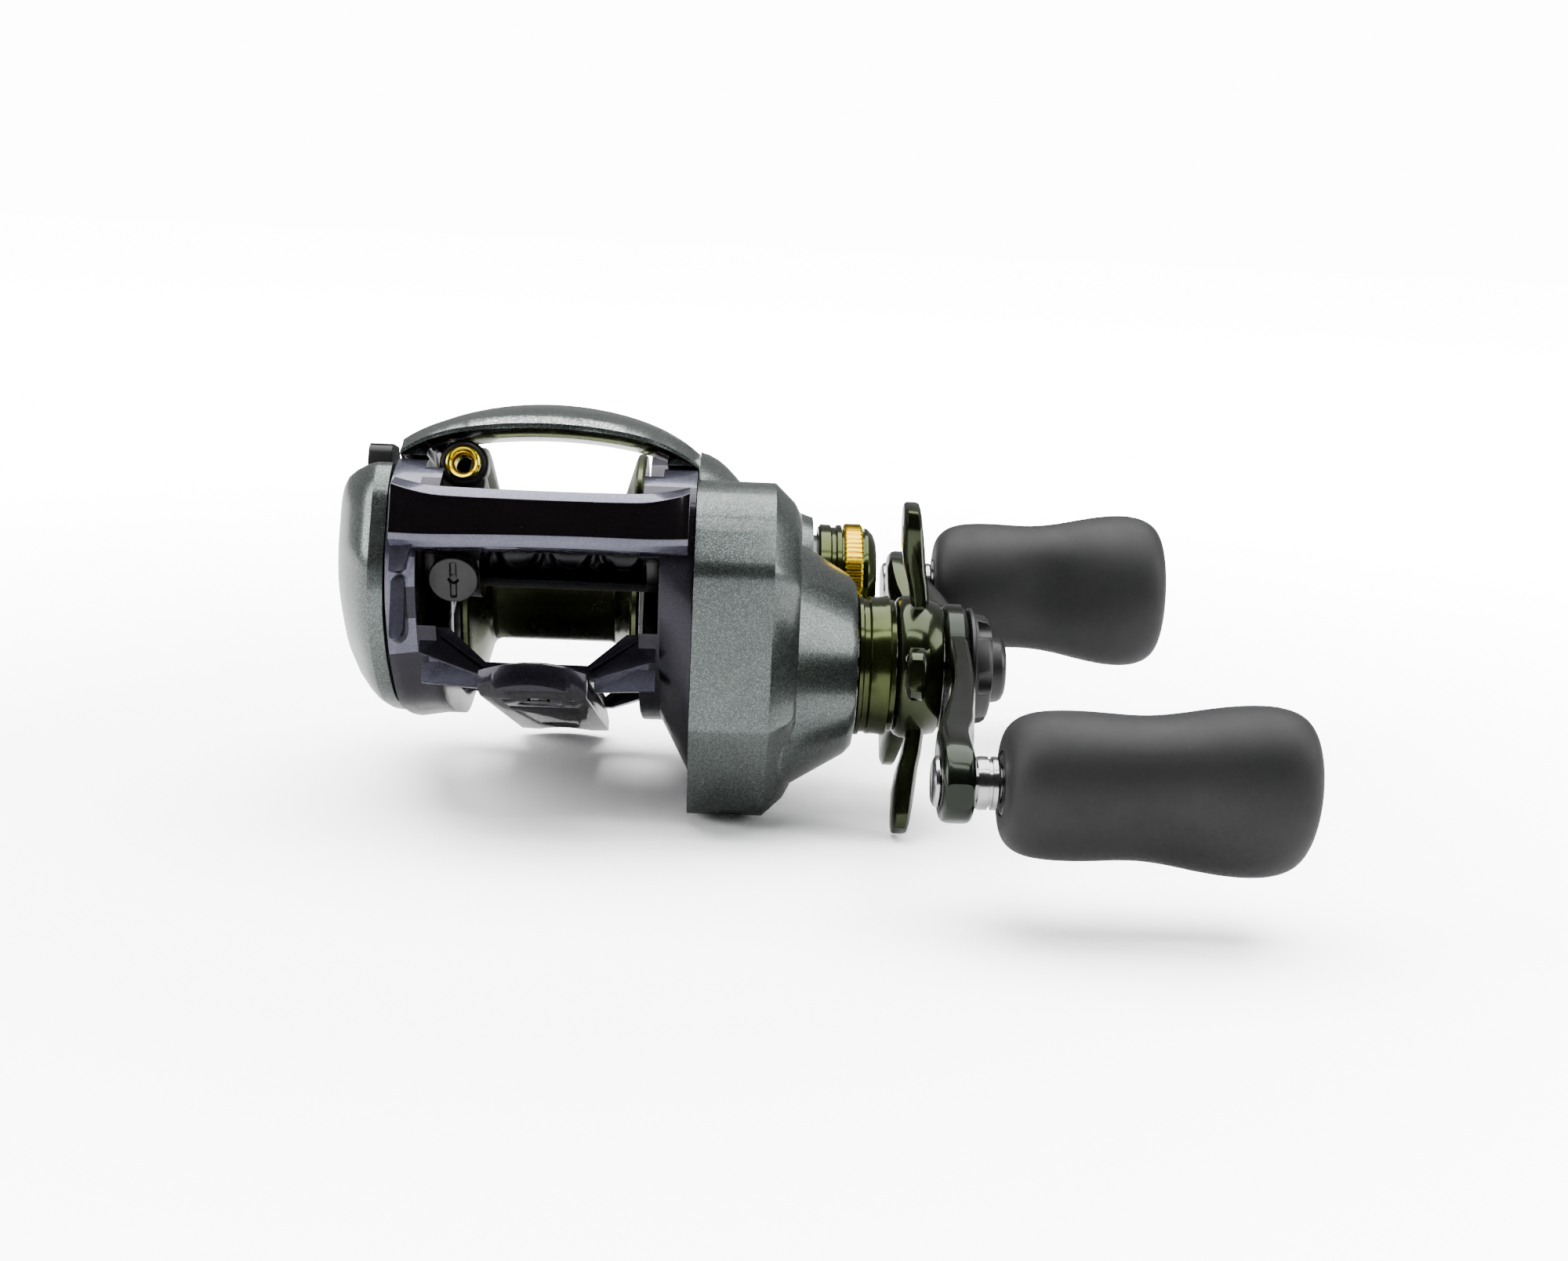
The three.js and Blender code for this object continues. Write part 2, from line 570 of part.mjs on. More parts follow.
const PAWL_WAY = { y: -0.82, z: -0.572 }; // from the worm's axis out through the pawl
const pawlPoint = (distance) => ({ y: WORM.y + PAWL_WAY.y * distance, z: WORM.z + PAWL_WAY.z * distance });
const PAWL_NECK = pawlPoint(5);
const PAWL_END = pawlPoint(7);

function pawlRod(from, to, radius, segments = SMALL) {
  const [a, b] = [pawlPoint(from), pawlPoint(to)];
  return pin([GUIDE_X, a.y, a.z], [GUIDE_X, b.y, b.z], radius, segments);
}

function pawlSlot() {
  const centre = pawlPoint(8.7);
  const geometry = new THREE.BoxGeometry(0.8, 1, 3.6);
  geometry.rotateX(Math.atan2(PAWL_WAY.z, PAWL_WAY.y));
  return solid(geometry.translate(GUIDE_X, centre.y, centre.z));
}

function makeGuideRing() {
  const profile = [[-1.7, 1.05], [-1.7, 2.05], [-1.4, 2.1], [-1.4, 1.85], [1.6, 1.85], [1.6, 1.05], [-1.7, 1.05]];
  const points = profile.map(([y, radius]) => new THREE.Vector2(radius, y));
  return solid(new THREE.LatheGeometry(points, SMALL).translate(GUIDE_X, RING.y, RING.z));
}

// ---- spool and its gears -----------------------------------------------------------------------

function makeSpool() {
  const flange = SPOOL_FLANGE;
  const [w, b] = [SPOOL_HALF, BARREL];
  const profile = [[-w, flange - 0.5], [-w + 0.4, flange], [-w + 1.1, flange], [-w + 1.4, flange - 0.6]];
  profile.push([-w + 3.2, b + 0.5], [-w + 4, b], [w - 4, b], [w - 3.2, b + 0.5]);
  profile.push([w - 1.4, flange - 0.6], [w - 1.1, flange], [w - 0.4, flange], [w, flange - 0.5]);
  profile.push([w, flange - 1.2], [w - 2.3, b - 0.6], [w - 4, b - 1.4], [w - 4, 1.9]);
  profile.push([-w + 4, 1.9], [-w + 4, b - 1.4], [-w + 2.3, b - 0.6], [-w, flange - 1.2], [-w, flange - 0.5]);
  return turned(profile, SPOOL, 40);
}

const PINION = { from: 19.9, to: 33.2 };

function makePinion() {
  const teeth = slab(gearOutline(SPOOL, MAIN.module, MAIN.pinion, meshAngle(SPOOL, DRIVE), true), 21.9, 26.9);
  const sleeve = turned(
    [
      [PINION.from, 0], [PINION.from, 2.9], [20.6, 2.9], [20.6, 1.85], [27, 1.85], [27, 2.7], [27.7, 2.7],
      [27.7, 2.1], [29.2, 2.1], [29.2, 2.7], [PINION.to, 2.7], [PINION.to, 0],
    ],
    SPOOL, SMALL
  );
  const slot = block(PINION.from - 1, PINION.from + 1.4, -4, 4, -0.75, 0.75);
  return cut(union(teeth, sleeve), rod(SPOOL, 1.3, 10, 40, 16), slot);
}

function meshAngle(from, to) {
  return Math.atan2(to.z - from.z, to.y - from.y);
}

function makeSpoolShaft() {
  const shaft = turned(
    [[-24.4, 0], [-24.4, 1.1], [-20, 1.1], [-20, 1.6], [19, 1.6], [19, 1], [35.6, 1], [35.6, 0]], SPOOL, SMALL
  );
  const key = block(19, 20.9, -2.3, 2.3, -0.45, 0.45);
  return union(shaft, key);
}

// The yoke holds the pinion by its groove and slides on two posts.
function makeYoke() {
  const plate = slab([[-6.2, 0.6], [-5, -1.4], [5, -1.4], [6.2, 0.6], [6.2, 4.4], [-6.2, 4.4]], 28, 28.9);
  const posts = YOKE_POSTS.map((post) => rod(post, 1, 26, 31));
  return cut(plate, rod(SPOOL, 2.4, 26, 31), block(26, 31, -2.4, 2.4, -3, 0), ...posts);
}

const YOKE_POSTS = [{ y: -4.6, z: 1.8 }, { y: 4.6, z: 1.8 }];

// ---- crank and drag ----------------------------------------------------------------------------

function makeDriveShaft() {
  return turned(
    [[16.2, 0], [16.2, 1.6], [19, 1.6], [19, 2.4], [22, 2.4], [22, 3.9], [22.4, 3.9], [22.4, 3]]
      .concat([[50.4, 3], [50.4, 2.5], [56.2, 2.5], [56.2, 0]]),
    DRIVE, SMALL
  );
}

function makeDriveGear() {
  const towards = meshAngle(DRIVE, SPOOL);
  const rim = slab(gearOutline(DRIVE, MAIN.module, MAIN.drive, towards, false), 22.8, 25);
  const cup = ring(DRIVE, 9.4, 11, 24.9, 26.6, 48);
  const holes = [0, 1, 2, 3, 4, 5].map((i) => rod(along(DRIVE, (i * Math.PI) / 3 + 0.3, 13.4), 1.5, 22, 28, 12));
  return cut(union(rim, cup), rod(DRIVE, 3.3, 22, 28), ...holes);
}

function makeHub() {
  return turned(
    [[CONE.end + GAP, 3.3], [CONE.end + GAP, 9.1], [40.5, 9.2], [40.8, 8.8], [41.4, 8.8], [41.7, 9.1]]
      .concat([[43.8, 9.1], [44.2, 8.6], [44.7, 8.6], [44.7, 3.3], [CONE.end + GAP, 3.3]]),
    DRIVE, 48
  );
}

// An arm that grows wider from its root and bends towards the reel at its tip.
function starArm(angle) {
  const way = tableDirection(angle);
  const across = { y: -way.z, z: way.y };
  const stations = [[6, 2.3, 46.8, 48.7], [10, 2.2, 46.7, 48.6], [13, 2.4, 45.9, 48.2], [16, 2.9, 45.3, 47.9]];
  stations.push([19.6, 3, 45.1, 47.5], [21.4, 2.4, 45.1, 47.1], [STAR.reach, 1.2, 45.2, 46.7]);
  return bar(DRIVE, way, across, stations);
}

// A bar along a direction from a centre: at each reach, a half width and two X planes.
function bar(centre, way, across, stations) {
  const corners = [];
  stations.forEach(([reach, half, x0, x1]) => {
    const ease = Math.min(0.7, half * 0.4, (x1 - x0) * 0.3);
    const section = [[x0, half - ease], [x0 + ease, half], [x1 - ease, half], [x1, half - ease]];
    section.push([x1, -half + ease], [x1 - ease, -half], [x0 + ease, -half], [x0, -half + ease]);
    section.forEach(([x, side]) => {
      corners.push([x, centre.y + way.y * reach + across.y * side, centre.z + way.z * reach + across.z * side]);
    });
  });
  const faces = [];
  const n = 8;
  for (let s = 0; s + 1 < stations.length; s++) {
    for (let i = 0; i < n; i++) {
      const [a, b] = [s * n + i, s * n + ((i + 1) % n)];
      faces.push([a, b, b + n], [a, b + n, a + n]);
    }
  }
  const last = (stations.length - 1) * n;
  for (let i = 1; i + 1 < n; i++) faces.push([0, i + 1, i], [last, last + i, last + i + 1]);
  const geometry = new THREE.BufferGeometry();
  geometry.setAttribute("position", new THREE.Float32BufferAttribute(corners.flat(), 3));
  geometry.setIndex(faces.flat());
  return solid(geometry);
}

function makeStar() {
  const hub = turned(
    [[45, 3.3], [45, 8.2], [46.4, 9.2], [48.2, 9.2], [49.3, 8.3], [49.3, 3.3], [45, 3.3]], DRIVE, ROUND
  );
  const arms = [];
  for (let i = 0; i < STAR.arms; i++) {
    arms.push(starArm(THREE.MathUtils.degToRad(STAR.first + (i * 360) / STAR.arms)));
  }
  return union(hub, ...arms);
}

// Half of the crank, from its hub to an end that is swept towards the reel.
function crankHalf(way) {
  const across = { y: -way.z, z: way.y };
  const stations = [[-1, 6, 51, 54], [5, 6, 51, 54], [9, 5.6, 51, 54], [14, 5, 50.9, 53.8], [20, 4.7, 50.3, 53.4]];
  stations.push([26, 4.6, 49.1, 52.7], [32, 4.6, 47.8, 51.9], [36.5, 4.8, 47.1, 51.6], [40, 4.9, 46.9, 51.5]);
  stations.push([44, 4.5, 46.9, 51.5], [46, 3.2, 46.9, 51.5], [46.8, 1.6, 47, 51.4]);
  return bar(DRIVE, way, across, stations);
}

const CRANK_WAYS = {
  front: tableDirection(CRANK_ANGLE),
  rear: tableDirection(CRANK_ANGLE + Math.PI),
};
const crankEnd = (way) => ({ y: DRIVE.y + way.y * CRANK_REACH, z: DRIVE.z + way.z * CRANK_REACH });

function makeCrank() {
  const hub = turned([[51, 0], [51, 7.6], [51.6, 8.4], [53.4, 8.4], [54, 7.8], [54, 0]], DRIVE, ROUND);
  const halves = Object.values(CRANK_WAYS).map(crankHalf);
  const eyes = Object.values(CRANK_WAYS).map((way) => rod(crankEnd(way), 2.2, 46, 53));
  const window = rod(DRIVE, 3.3, 50, 55);
  return cut(union(hub, ...halves), window, ...eyes);
}

// A spindle riveted through the crank's end, with a head on the reel's side.
function makeSpindle(way) {
  return turned(
    [[46.2, 0], [46.2, 2.6], [46.6, 3], [46.6, 1.9], [51.9, 1.9], [51.9, 2.8], [53.6, 2.8], [53.6, 1.9]]
      .concat([[86, 1.9], [86, 0]]),
    crankEnd(way), SMALL
  );
}

// The knob's half width and half depth along its length.
const KNOB_FORM = [
  [0, 4.6, 4.2], [0.015, 6.6, 5.8], [0.06, 8.5, 7.2], [0.14, 9.3, 7.9], [0.28, 9.4, 7.9], [0.42, 9.2, 7.7],
  [0.56, 10, 8], [0.7, 11.1, 8.5], [0.82, 11.5, 8.75], [0.91, 10.9, 8.4], [0.97, 9, 7], [1, 6.2, 4.8],
];

function makeKnob(way, degrees) {
  const axis = crankEnd(way);
  const turn = THREE.MathUtils.degToRad(degrees);
  const count = 28;
  const stations = KNOB_FORM.map(([t, wide, deep]) => {
    const points = [];
    for (let k = 0; k < count; k++) {
      const angle = (2 * Math.PI * k) / count;
      const [a, b] = [wide * Math.cos(angle), deep * Math.sin(angle)];
      const y = axis.y + a * Math.cos(turn) - b * Math.sin(turn);
      const z = axis.z + a * Math.sin(turn) + b * Math.cos(turn);
      points.push([y, z]);
    }
    return [KNOB.from + t * (KNOB.to - KNOB.from), points];
  });
  return cut(loft(stations), rod(axis, 2.2, KNOB.from - 1, 86.6), rod(axis, 3.9, KNOB.from - 1, KNOB.from + 1.6));
}

function makeKnobBearing(way) {
  return ring(crankEnd(way), 2.2, 3.6, 53.9, 55.2, SMALL);
}

function handleNut() {
  const points = [];
  for (let i = 0; i < 6; i++) {
    const corner = along(DRIVE, (i * Math.PI) / 3, 4.2);
    points.push([corner.y, corner.z]);
  }
  return cut(slab(points, 54.4, 56.2), rod(DRIVE, 2.8, 54, 57));
}

function makeNutCover() {
  const body = turned(
    [[54.3, 0], [54.3, 7.9], [55, 7.9], [55, 7.2], [56.9, 6.9], [57.3, 6.2], [57.3, 4.3]]
      .concat([[58.9, 4], [59.4, 3.3], [59.4, 0]]),
    DRIVE, 20
  );
  return cut(body, rod(DRIVE, 4.6, 53, 56.6), rod(DRIVE, 1.4, 56, 60), rod(DRIVE, 2.4, 58.4, 60));
}

// ---- tension cap -------------------------------------------------------------------------------

const CAP = { from: 35.2, to: 43.1, radius: 7.7, ringFrom: 38.7, ringTo: 41.2 };

function makeCap() {
  return turned(
    [[CAP.from, 6.7], [CAP.from, 7.2], [35.8, CAP.radius], [37, CAP.radius], [37.2, 7.2], [37.7, 7.2]]
      .concat([[37.9, CAP.radius], [CAP.ringFrom - GAP, CAP.radius], [CAP.ringFrom - GAP, 6.9]])
      .concat([[CAP.ringTo + GAP, 6.9], [CAP.ringTo + GAP, 7.2], [42.4, 6.9], [CAP.to, 5.8], [CAP.to, 0]])
      .concat([[40.6, 0], [40.6, 5.4], [38.8, 5.4], [38.8, 6.55], [CAP.from, 6.7]]),
    SPOOL, ROUND
  );
}

// ---- thumb bar and set plate -------------------------------------------------------------------

function makeThumbBar() {
  const side = [[21.4, 3.4], [22.6, 6.2], [25.6, 7], [28.2, 5.6], [29, 3.4], [27, 2.2], [23, 1.8]];
  const bar = slab(side, -11.8, 11.8);
  const tongue = [[18, 2], [24, 2.2], [24, 5.6], [18, 5]];
  return union(bar, slab(tongue, -12, -10.8), slab(tongue, 10.8, 12));
}

function makeSetPlate() {
  const outline = inset(rays(ringOutline(4, 0), BODY_CENTRE, RING_RAYS), BODY_CENTRE, 3);
  const plate = loft([[SET_PLATE_X[0], outline], [SET_PLATE_X[1], outline]]);
  return cut(
    plate,
    rod(SPOOL, 6.4, 15, 19),
    rod(WORM, 3, 15, 19),
    rod(DRIVE, 3.4, 15, 19),
    rod(IDLE, 1.3, 15, 19),
    rod({ y: 8, z: -8 }, 2.6, 15, 19)
  );
}

// ---- assembly ----------------------------------------------------------------------------------

add("frame", makeFrame(), violet);
add("reel_foot", makeFoot(), blackPlastic);
FOOT_SCREWS.forEach((y, i) => add(`foot_screw_${["front", "rear"][i]}`, footScrew(y), steel));
add("top_hood", makeHood(), pearl);
add("palm_cover", makePalmCover(), pearl);
add("palm_release_lever", releaseLever(), blackPlastic);
add("palm_bearing", ring(SPOOL, 1.4, 3.1, -24.2, -22.4, SMALL), steel);
add("brake_ring", ring(SPOOL, 5.9, 7.1, -21.6, -14.6, ROUND), steel);
add("brake_dial", makeDial(), blackPlastic);
add("gear_cover", makeGearCover(), pearl);
add("set_plate", makeSetPlate(), steel);

add("worm_guard", makeWormGuard(), blackPlastic);
add("worm_shaft", makeWorm(), steel);
add("worm_bush_palm", ring(WORM, 1.7, 2.1, -16.2, -14.9, SMALL), brass);
add("worm_bush_gear", ring(WORM, 1.7, 2.7, 16, 17.6, SMALL), brass);
add("guide_rod", rod(GUIDE_ROD, 1.2, -15.7, 15.7), steel);
add("line_guide", makeCarriage(), blackPlastic);
add("line_guide_ring", makeGuideRing(), gold);
add("pawl", union(pawlRod(2.8, 7.1, 1.2), pawlRod(6.2, 6.6, 1.2)), brass);
add("pawl_cap", cut(pawlRod(7.4, 8.6, 2.95), pawlSlot()), blackPlastic);

const driveToIdle = meshAngle(DRIVE, IDLE);
add("wind_drive_gear", windGear(DRIVE, WIND.drive, driveToIdle, false, 2.7, ...WIND_X), brass);
add("idle_gear", windGear(IDLE, WIND.idle, driveToIdle + Math.PI, true, 1.3, ...WIND_X), blackPlastic);
add("idle_gear_pin", rod(IDLE, 1, 15.4, 21.8), steel);
add("worm_gear", windGear(WORM, WIND.worm, driveToIdle + Math.PI, true, 1.7, ...WIND_X), blackPlastic);

add("spool", makeSpool(), olive);
add("spool_shaft", makeSpoolShaft(), steel);
add("brake_drum", ring(SPOOL, 1.9, 5.3, -20.6, -16, ROUND), blackPlastic);
add("spool_bearing", ring(SPOOL, 1.9, 5.9, 16.2, 18.4, ROUND), steel);
add("pinion_gear", makePinion(), brass);
add("pinion_yoke", makeYoke(), blackPlastic);
add("pinion_bearing", ring(SPOOL, 3, 4.6, 31.8, 33.8, SMALL), steel);

add("drive_shaft", makeDriveShaft(), steel);
add("drive_gear", makeDriveGear(), brass);
add("drag_washer_inner", ring(DRIVE, 3.3, 9.1, 25.3, 26.1, ROUND), friction);
add("key_washer", ring(DRIVE, 3.3, 9, 26.4, 27.2, ROUND), steel);
add("drag_washer_outer", ring(DRIVE, 3.3, 9.1, 27.5, 28.3, ROUND), friction);
add("drag_pressure_plate", ring(DRIVE, 3.3, 9, 28.6, 30.2, ROUND), steel);
add("one_way_clutch", ring(DRIVE, 5.1, 7.9, 30.6, 36.6, ROUND), steel);
add("clutch_sleeve", ring(DRIVE, 3.3, 4.8, 30.6, 39.4, SMALL), steel);
add("drag_hub", makeHub(), olive);
add("star_wheel", makeStar(), crankGreen);
add("handle_nut", handleNut(), steel);
add("handle_arm", makeCrank(), crankGreen);
add("nut_cover", makeNutCover(), blackPlastic);

add("spindle_front", makeSpindle(CRANK_WAYS.front), steel);
add("spindle_rear", makeSpindle(CRANK_WAYS.rear), steel);
add("knob_bearing_front", makeKnobBearing(CRANK_WAYS.front), blackPlastic);
add("knob_bearing_rear", makeKnobBearing(CRANK_WAYS.rear), blackPlastic);
add("knob_front", makeKnob(CRANK_WAYS.front, KNOB.turnFront), rubber);
add("knob_rear", makeKnob(CRANK_WAYS.rear, KNOB.turnRear), rubber);

add("tension_cap", makeCap(), olive);
add("tension_cap_ring", ring(SPOOL, 7.15, 7.9, CAP.ringFrom, CAP.ringTo), gold);
add("tension_shim", rod(SPOOL, 4, 37, 37.5), steel);
add("thumb_bar", makeThumbBar(), blackPlastic);

// ---- on the table ------------------------------------------------------------------------------

level.rotation.x = -PITCH;
const land = new THREE.Vector3(0, FOOT.land, FOOT.bottom).applyAxisAngle(new THREE.Vector3(1, 0, 0), -PITCH);
level.position.copy(land).negate();

export default reel;
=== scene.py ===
"""A low-profile baitcasting reel, standing nose-up on a table.

Pieces are drawn in millimetres in the reel's own level frame: the spool's axis is X, +Y is to the
rear, +Z is up and the foot is level. finished() then pitches each finished piece onto the table.
"""

import json
import math

import bmesh
import bpy
from mathutils import Matrix, Vector, noise


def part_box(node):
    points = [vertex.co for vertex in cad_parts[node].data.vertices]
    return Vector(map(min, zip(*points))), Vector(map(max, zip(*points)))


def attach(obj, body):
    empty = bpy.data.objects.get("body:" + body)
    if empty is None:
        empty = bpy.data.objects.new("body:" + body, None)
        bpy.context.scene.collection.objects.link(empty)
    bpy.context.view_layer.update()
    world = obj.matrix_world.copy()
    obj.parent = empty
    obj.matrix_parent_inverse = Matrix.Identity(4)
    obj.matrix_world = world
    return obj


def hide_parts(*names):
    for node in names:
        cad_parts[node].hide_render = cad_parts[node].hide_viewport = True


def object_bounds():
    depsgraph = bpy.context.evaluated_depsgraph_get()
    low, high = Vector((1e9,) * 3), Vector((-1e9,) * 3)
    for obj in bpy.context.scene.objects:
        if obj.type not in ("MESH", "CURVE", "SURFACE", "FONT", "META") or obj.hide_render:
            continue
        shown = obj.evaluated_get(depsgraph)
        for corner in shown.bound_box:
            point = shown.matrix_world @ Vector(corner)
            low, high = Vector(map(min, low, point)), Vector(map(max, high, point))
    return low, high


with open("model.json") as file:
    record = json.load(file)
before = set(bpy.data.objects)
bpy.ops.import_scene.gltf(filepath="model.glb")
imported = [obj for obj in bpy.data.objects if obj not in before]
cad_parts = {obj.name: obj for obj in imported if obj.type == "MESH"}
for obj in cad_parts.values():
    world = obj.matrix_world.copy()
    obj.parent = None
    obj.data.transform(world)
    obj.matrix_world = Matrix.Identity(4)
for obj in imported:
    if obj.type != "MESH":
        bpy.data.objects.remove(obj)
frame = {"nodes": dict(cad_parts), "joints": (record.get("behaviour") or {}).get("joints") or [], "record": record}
CAD_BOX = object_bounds()

MM = 0.001
JOINTS = {joint["name"]: joint for joint in frame["joints"]}
SEAT = frame["record"]["mounts"][0]
PITCH = math.atan2(-SEAT["axis"][1], -SEAT["axis"][2])


def joint_place(name):
    return Vector(JOINTS[name]["pos_m"])


SPOOL_PLACE = joint_place("spool_turn")
STAND = (
    Matrix.Translation((0, SPOOL_PLACE.y, SPOOL_PLACE.z))
    @ Matrix.Rotation(-PITCH, 4, "X")
    @ Matrix.Scale(MM, 4)
)
LEVEL = STAND.inverted()


def axis_of(joint):
    """Where a joint's axis along X crosses the level frame, as (y, z) in millimetres."""
    place = LEVEL @ joint_place(joint)
    return (place.y, place.z)


def span(node):
    """A CAD node's two X planes, in millimetres."""
    low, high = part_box(node)
    return low[0] / MM, high[0] / MM


SPOOL = (0.0, 0.0)
DRIVE = axis_of("crank_turn")
WORM = axis_of("worm_turn")
KNOB_FRONT = axis_of("front_knob_spin")
KNOB_REAR = axis_of("rear_knob_spin")
GUIDE_X = sum(span("line_guide")) / 2

# ---- modelling by hand -------------------------------------------------------------------------


def nothing_selected():
    if bpy.context.object and bpy.context.object.mode != "OBJECT":
        bpy.ops.object.mode_set(mode="OBJECT")
    bpy.ops.object.select_all(action="DESELECT")


def only(piece):
    nothing_selected()
    piece.select_set(True)
    bpy.context.view_layer.objects.active = piece


def editing(piece):
    only(piece)
    bpy.ops.object.mode_set(mode="EDIT")


def done(piece, name=None):
    bpy.ops.object.mode_set(mode="OBJECT")
    if name:
        piece.name = name
        piece.data.name = name
    return piece


def start(kind, **where):
    nothing_selected()
    getattr(bpy.ops.mesh, "primitive_%s_add" % kind)(**where)
    return bpy.context.object


def place_mesh(piece):
    only(piece)
    bpy.ops.object.transform_apply(location=True, rotation=True, scale=True)


def select(piece, test, kind="faces"):
    """Selects the faces, edges or vertices of a piece in edit mode whose middle passes a test."""
    mesh = bmesh.from_edit_mesh(piece.data)
    bpy.ops.mesh.select_all(action="DESELECT")
    bpy.ops.mesh.select_mode(type={"faces": "FACE", "edges": "EDGE", "verts": "VERT"}[kind])
    for item in getattr(mesh, kind):
        if kind == "faces":
            middle, normal = item.calc_center_median(), item.normal
        elif kind == "edges":
            middle, normal = (item.verts[0].co + item.verts[1].co) / 2, None
        else:
            middle, normal = item.co, None
        if test(middle, normal):
            item.select_set(True)
    mesh.select_flush_mode()
    bmesh.update_edit_mesh(piece.data)


def drawn_line(points):
    """A chain of edges through points, drawn from one vertex by extruding it along."""
    line = start("plane", size=1)
    bpy.ops.object.mode_set(mode="EDIT")
    bpy.ops.mesh.select_all(action="SELECT")
    bpy.ops.mesh.merge(type="CENTER")
    bpy.ops.mesh.select_mode(type="VERT")
    bpy.ops.mesh.select_all(action="SELECT")
    bpy.ops.transform.translate(value=points[0])
    for before, after in zip(points, points[1:]):
        step = [b - a for a, b in zip(before, after)]
        bpy.ops.mesh.extrude_region_move(TRANSFORM_OT_translate={"value": step})
    return line


def drawn_face(points):
    """A flat face with an outline through points."""
    face = drawn_line(points)
    bpy.ops.mesh.select_all(action="SELECT")
    bpy.ops.mesh.edge_face_add()
    bpy.ops.mesh.select_mode(type="FACE")
    bpy.ops.mesh.select_all(action="SELECT")
    return face


def tidy(piece, name=None):
    """Closes seams and turns faces out."""
    editing(piece)
    bpy.ops.mesh.select_all(action="SELECT")
    bpy.ops.mesh.remove_doubles(threshold=0.002)
    bpy.ops.mesh.dissolve_degenerate(threshold=0.0005)
    bpy.ops.mesh.select_all(action="SELECT")
    bpy.ops.mesh.normals_make_consistent(inside=False)
    return done(piece, name)


def slab(name, outline, x0, x1, steps=()):
    """An outline in Y and Z, extruded along X through any steps between its two planes."""
    piece = drawn_face([(x0, y, z) for y, z in outline])
    planes = [x0, *steps, x1]
    for before, after in zip(planes, planes[1:]):
        bpy.ops.mesh.extrude_region_move(TRANSFORM_OT_translate={"value": (after - before, 0, 0)})
    return tidy(piece, name)


def front_slab(name, outline, y0, y1):
    """An outline in X and Z, extruded along Y."""
    piece = drawn_face([(x, y0, z) for x, z in outline])
    bpy.ops.mesh.extrude_region_move(TRANSFORM_OT_translate={"value": (0, y1 - y0, 0)})
    return tidy(piece, name)


def turned(name, profile, axis=SPOOL, steps=64):
    """A profile of (x, radius) spun about an axis along X."""
    piece = drawn_line([(x, axis[0], axis[1] + radius) for x, radius in profile])
    bpy.ops.mesh.select_all(action="SELECT")
    bpy.ops.mesh.spin(steps=steps, angle=2 * math.pi, center=(0, *axis), axis=(1, 0, 0))
    return tidy(piece, name)


def rod(x0, x1, radius, axis=SPOOL, steps=48):
    return turned("rod", [(x0, 0), (x0, radius), (x1, radius), (x1, 0)], axis, steps)


def block(x0, x1, y0, y1, z0, z1):
    middle = ((x0 + x1) / 2, (y0 + y1) / 2, (z0 + z1) / 2)
    piece = start("cube", size=1, location=middle, scale=(x1 - x0, y1 - y0, z1 - z0))
    place_mesh(piece)
    return piece


def pin(a, b, radius, steps=32):
    """A rod between any two points."""
    a, b = Vector(a), Vector(b)
    way = b - a
    turn = way.to_track_quat("Z", "Y").to_euler()
    piece = start("cylinder", vertices=steps, radius=radius, depth=way.length, location=(a + b) / 2, rotation=turn)
    place_mesh(piece)
    return piece


def swept(name, section, stations):
    """A section carried through stations, each a shift and a scale about the shifted middle."""
    piece = drawn_face(section)
    here = Vector((0, 0, 0))
    size = (1.0, 1.0, 1.0)
    for shift, scale in stations:
        step = Vector(shift) - here
        bpy.ops.mesh.extrude_region_move(TRANSFORM_OT_translate={"value": step})
        grow = [b / a for a, b in zip(size, scale)]
        bpy.ops.transform.resize(value=grow, center_override=Vector(shift))
        here, size = Vector(shift), scale
    return tidy(piece, name)


def combine(piece, tools, operation):
    """Joins, cuts or keeps what is common, one tool at a time."""
    for tool in tools:
        only(piece)
        change = piece.modifiers.new("boolean", "BOOLEAN")
        change.operation = operation
        change.solver = "EXACT"
        change.object = tool
        bpy.ops.object.modifier_apply(modifier=change.name)
        bpy.data.objects.remove(tool)
    return piece


def cut(piece, *tools):
    return combine(piece, tools, "DIFFERENCE")


def join(piece, *tools):
    return combine(piece, tools, "UNION")


def eased(piece, width=0.3, rings=2, angle=28, painted_highlight_index=-1):
    """Rounds every edge sharper than an angle. The rounded faces may take another finish: a lighter copy painted as a
    highlight along the edges.
    """
    tidy(piece)
    only(piece)
    change = piece.modifiers.new("bevel", "BEVEL")
    change.width = width
    change.segments = rings
    change.limit_method = "ANGLE"
    change.angle_limit = math.radians(angle)
    change.miter_outer = "MITER_ARC"
    change.material = painted_highlight_index
    bpy.ops.object.modifier_apply(modifier=change.name)
    return piece


def rounded(piece, levels=2):
    only(piece)
    change = piece.modifiers.new("subdivision", "SUBSURF")
    change.levels = levels
    change.render_levels = levels
    bpy.ops.object.modifier_apply(modifier=change.name)
    return piece


def moved(piece, change):
    """Moves each point of a piece to where a rule says."""
    for vertex in piece.data.vertices:
        vertex.co = change(vertex.co.copy())
    piece.data.update()
    return piece


def arc(centre, radius, first, last, count):
    """Points on a circle, from one angle to another, in degrees from +Y towards +Z."""
    points = []
    for i in range(count + 1):
        angle = math.radians(first + (last - first) * i / count)
        points.append((centre[0] + radius * math.cos(angle), centre[1] + radius * math.sin(angle)))
    return points


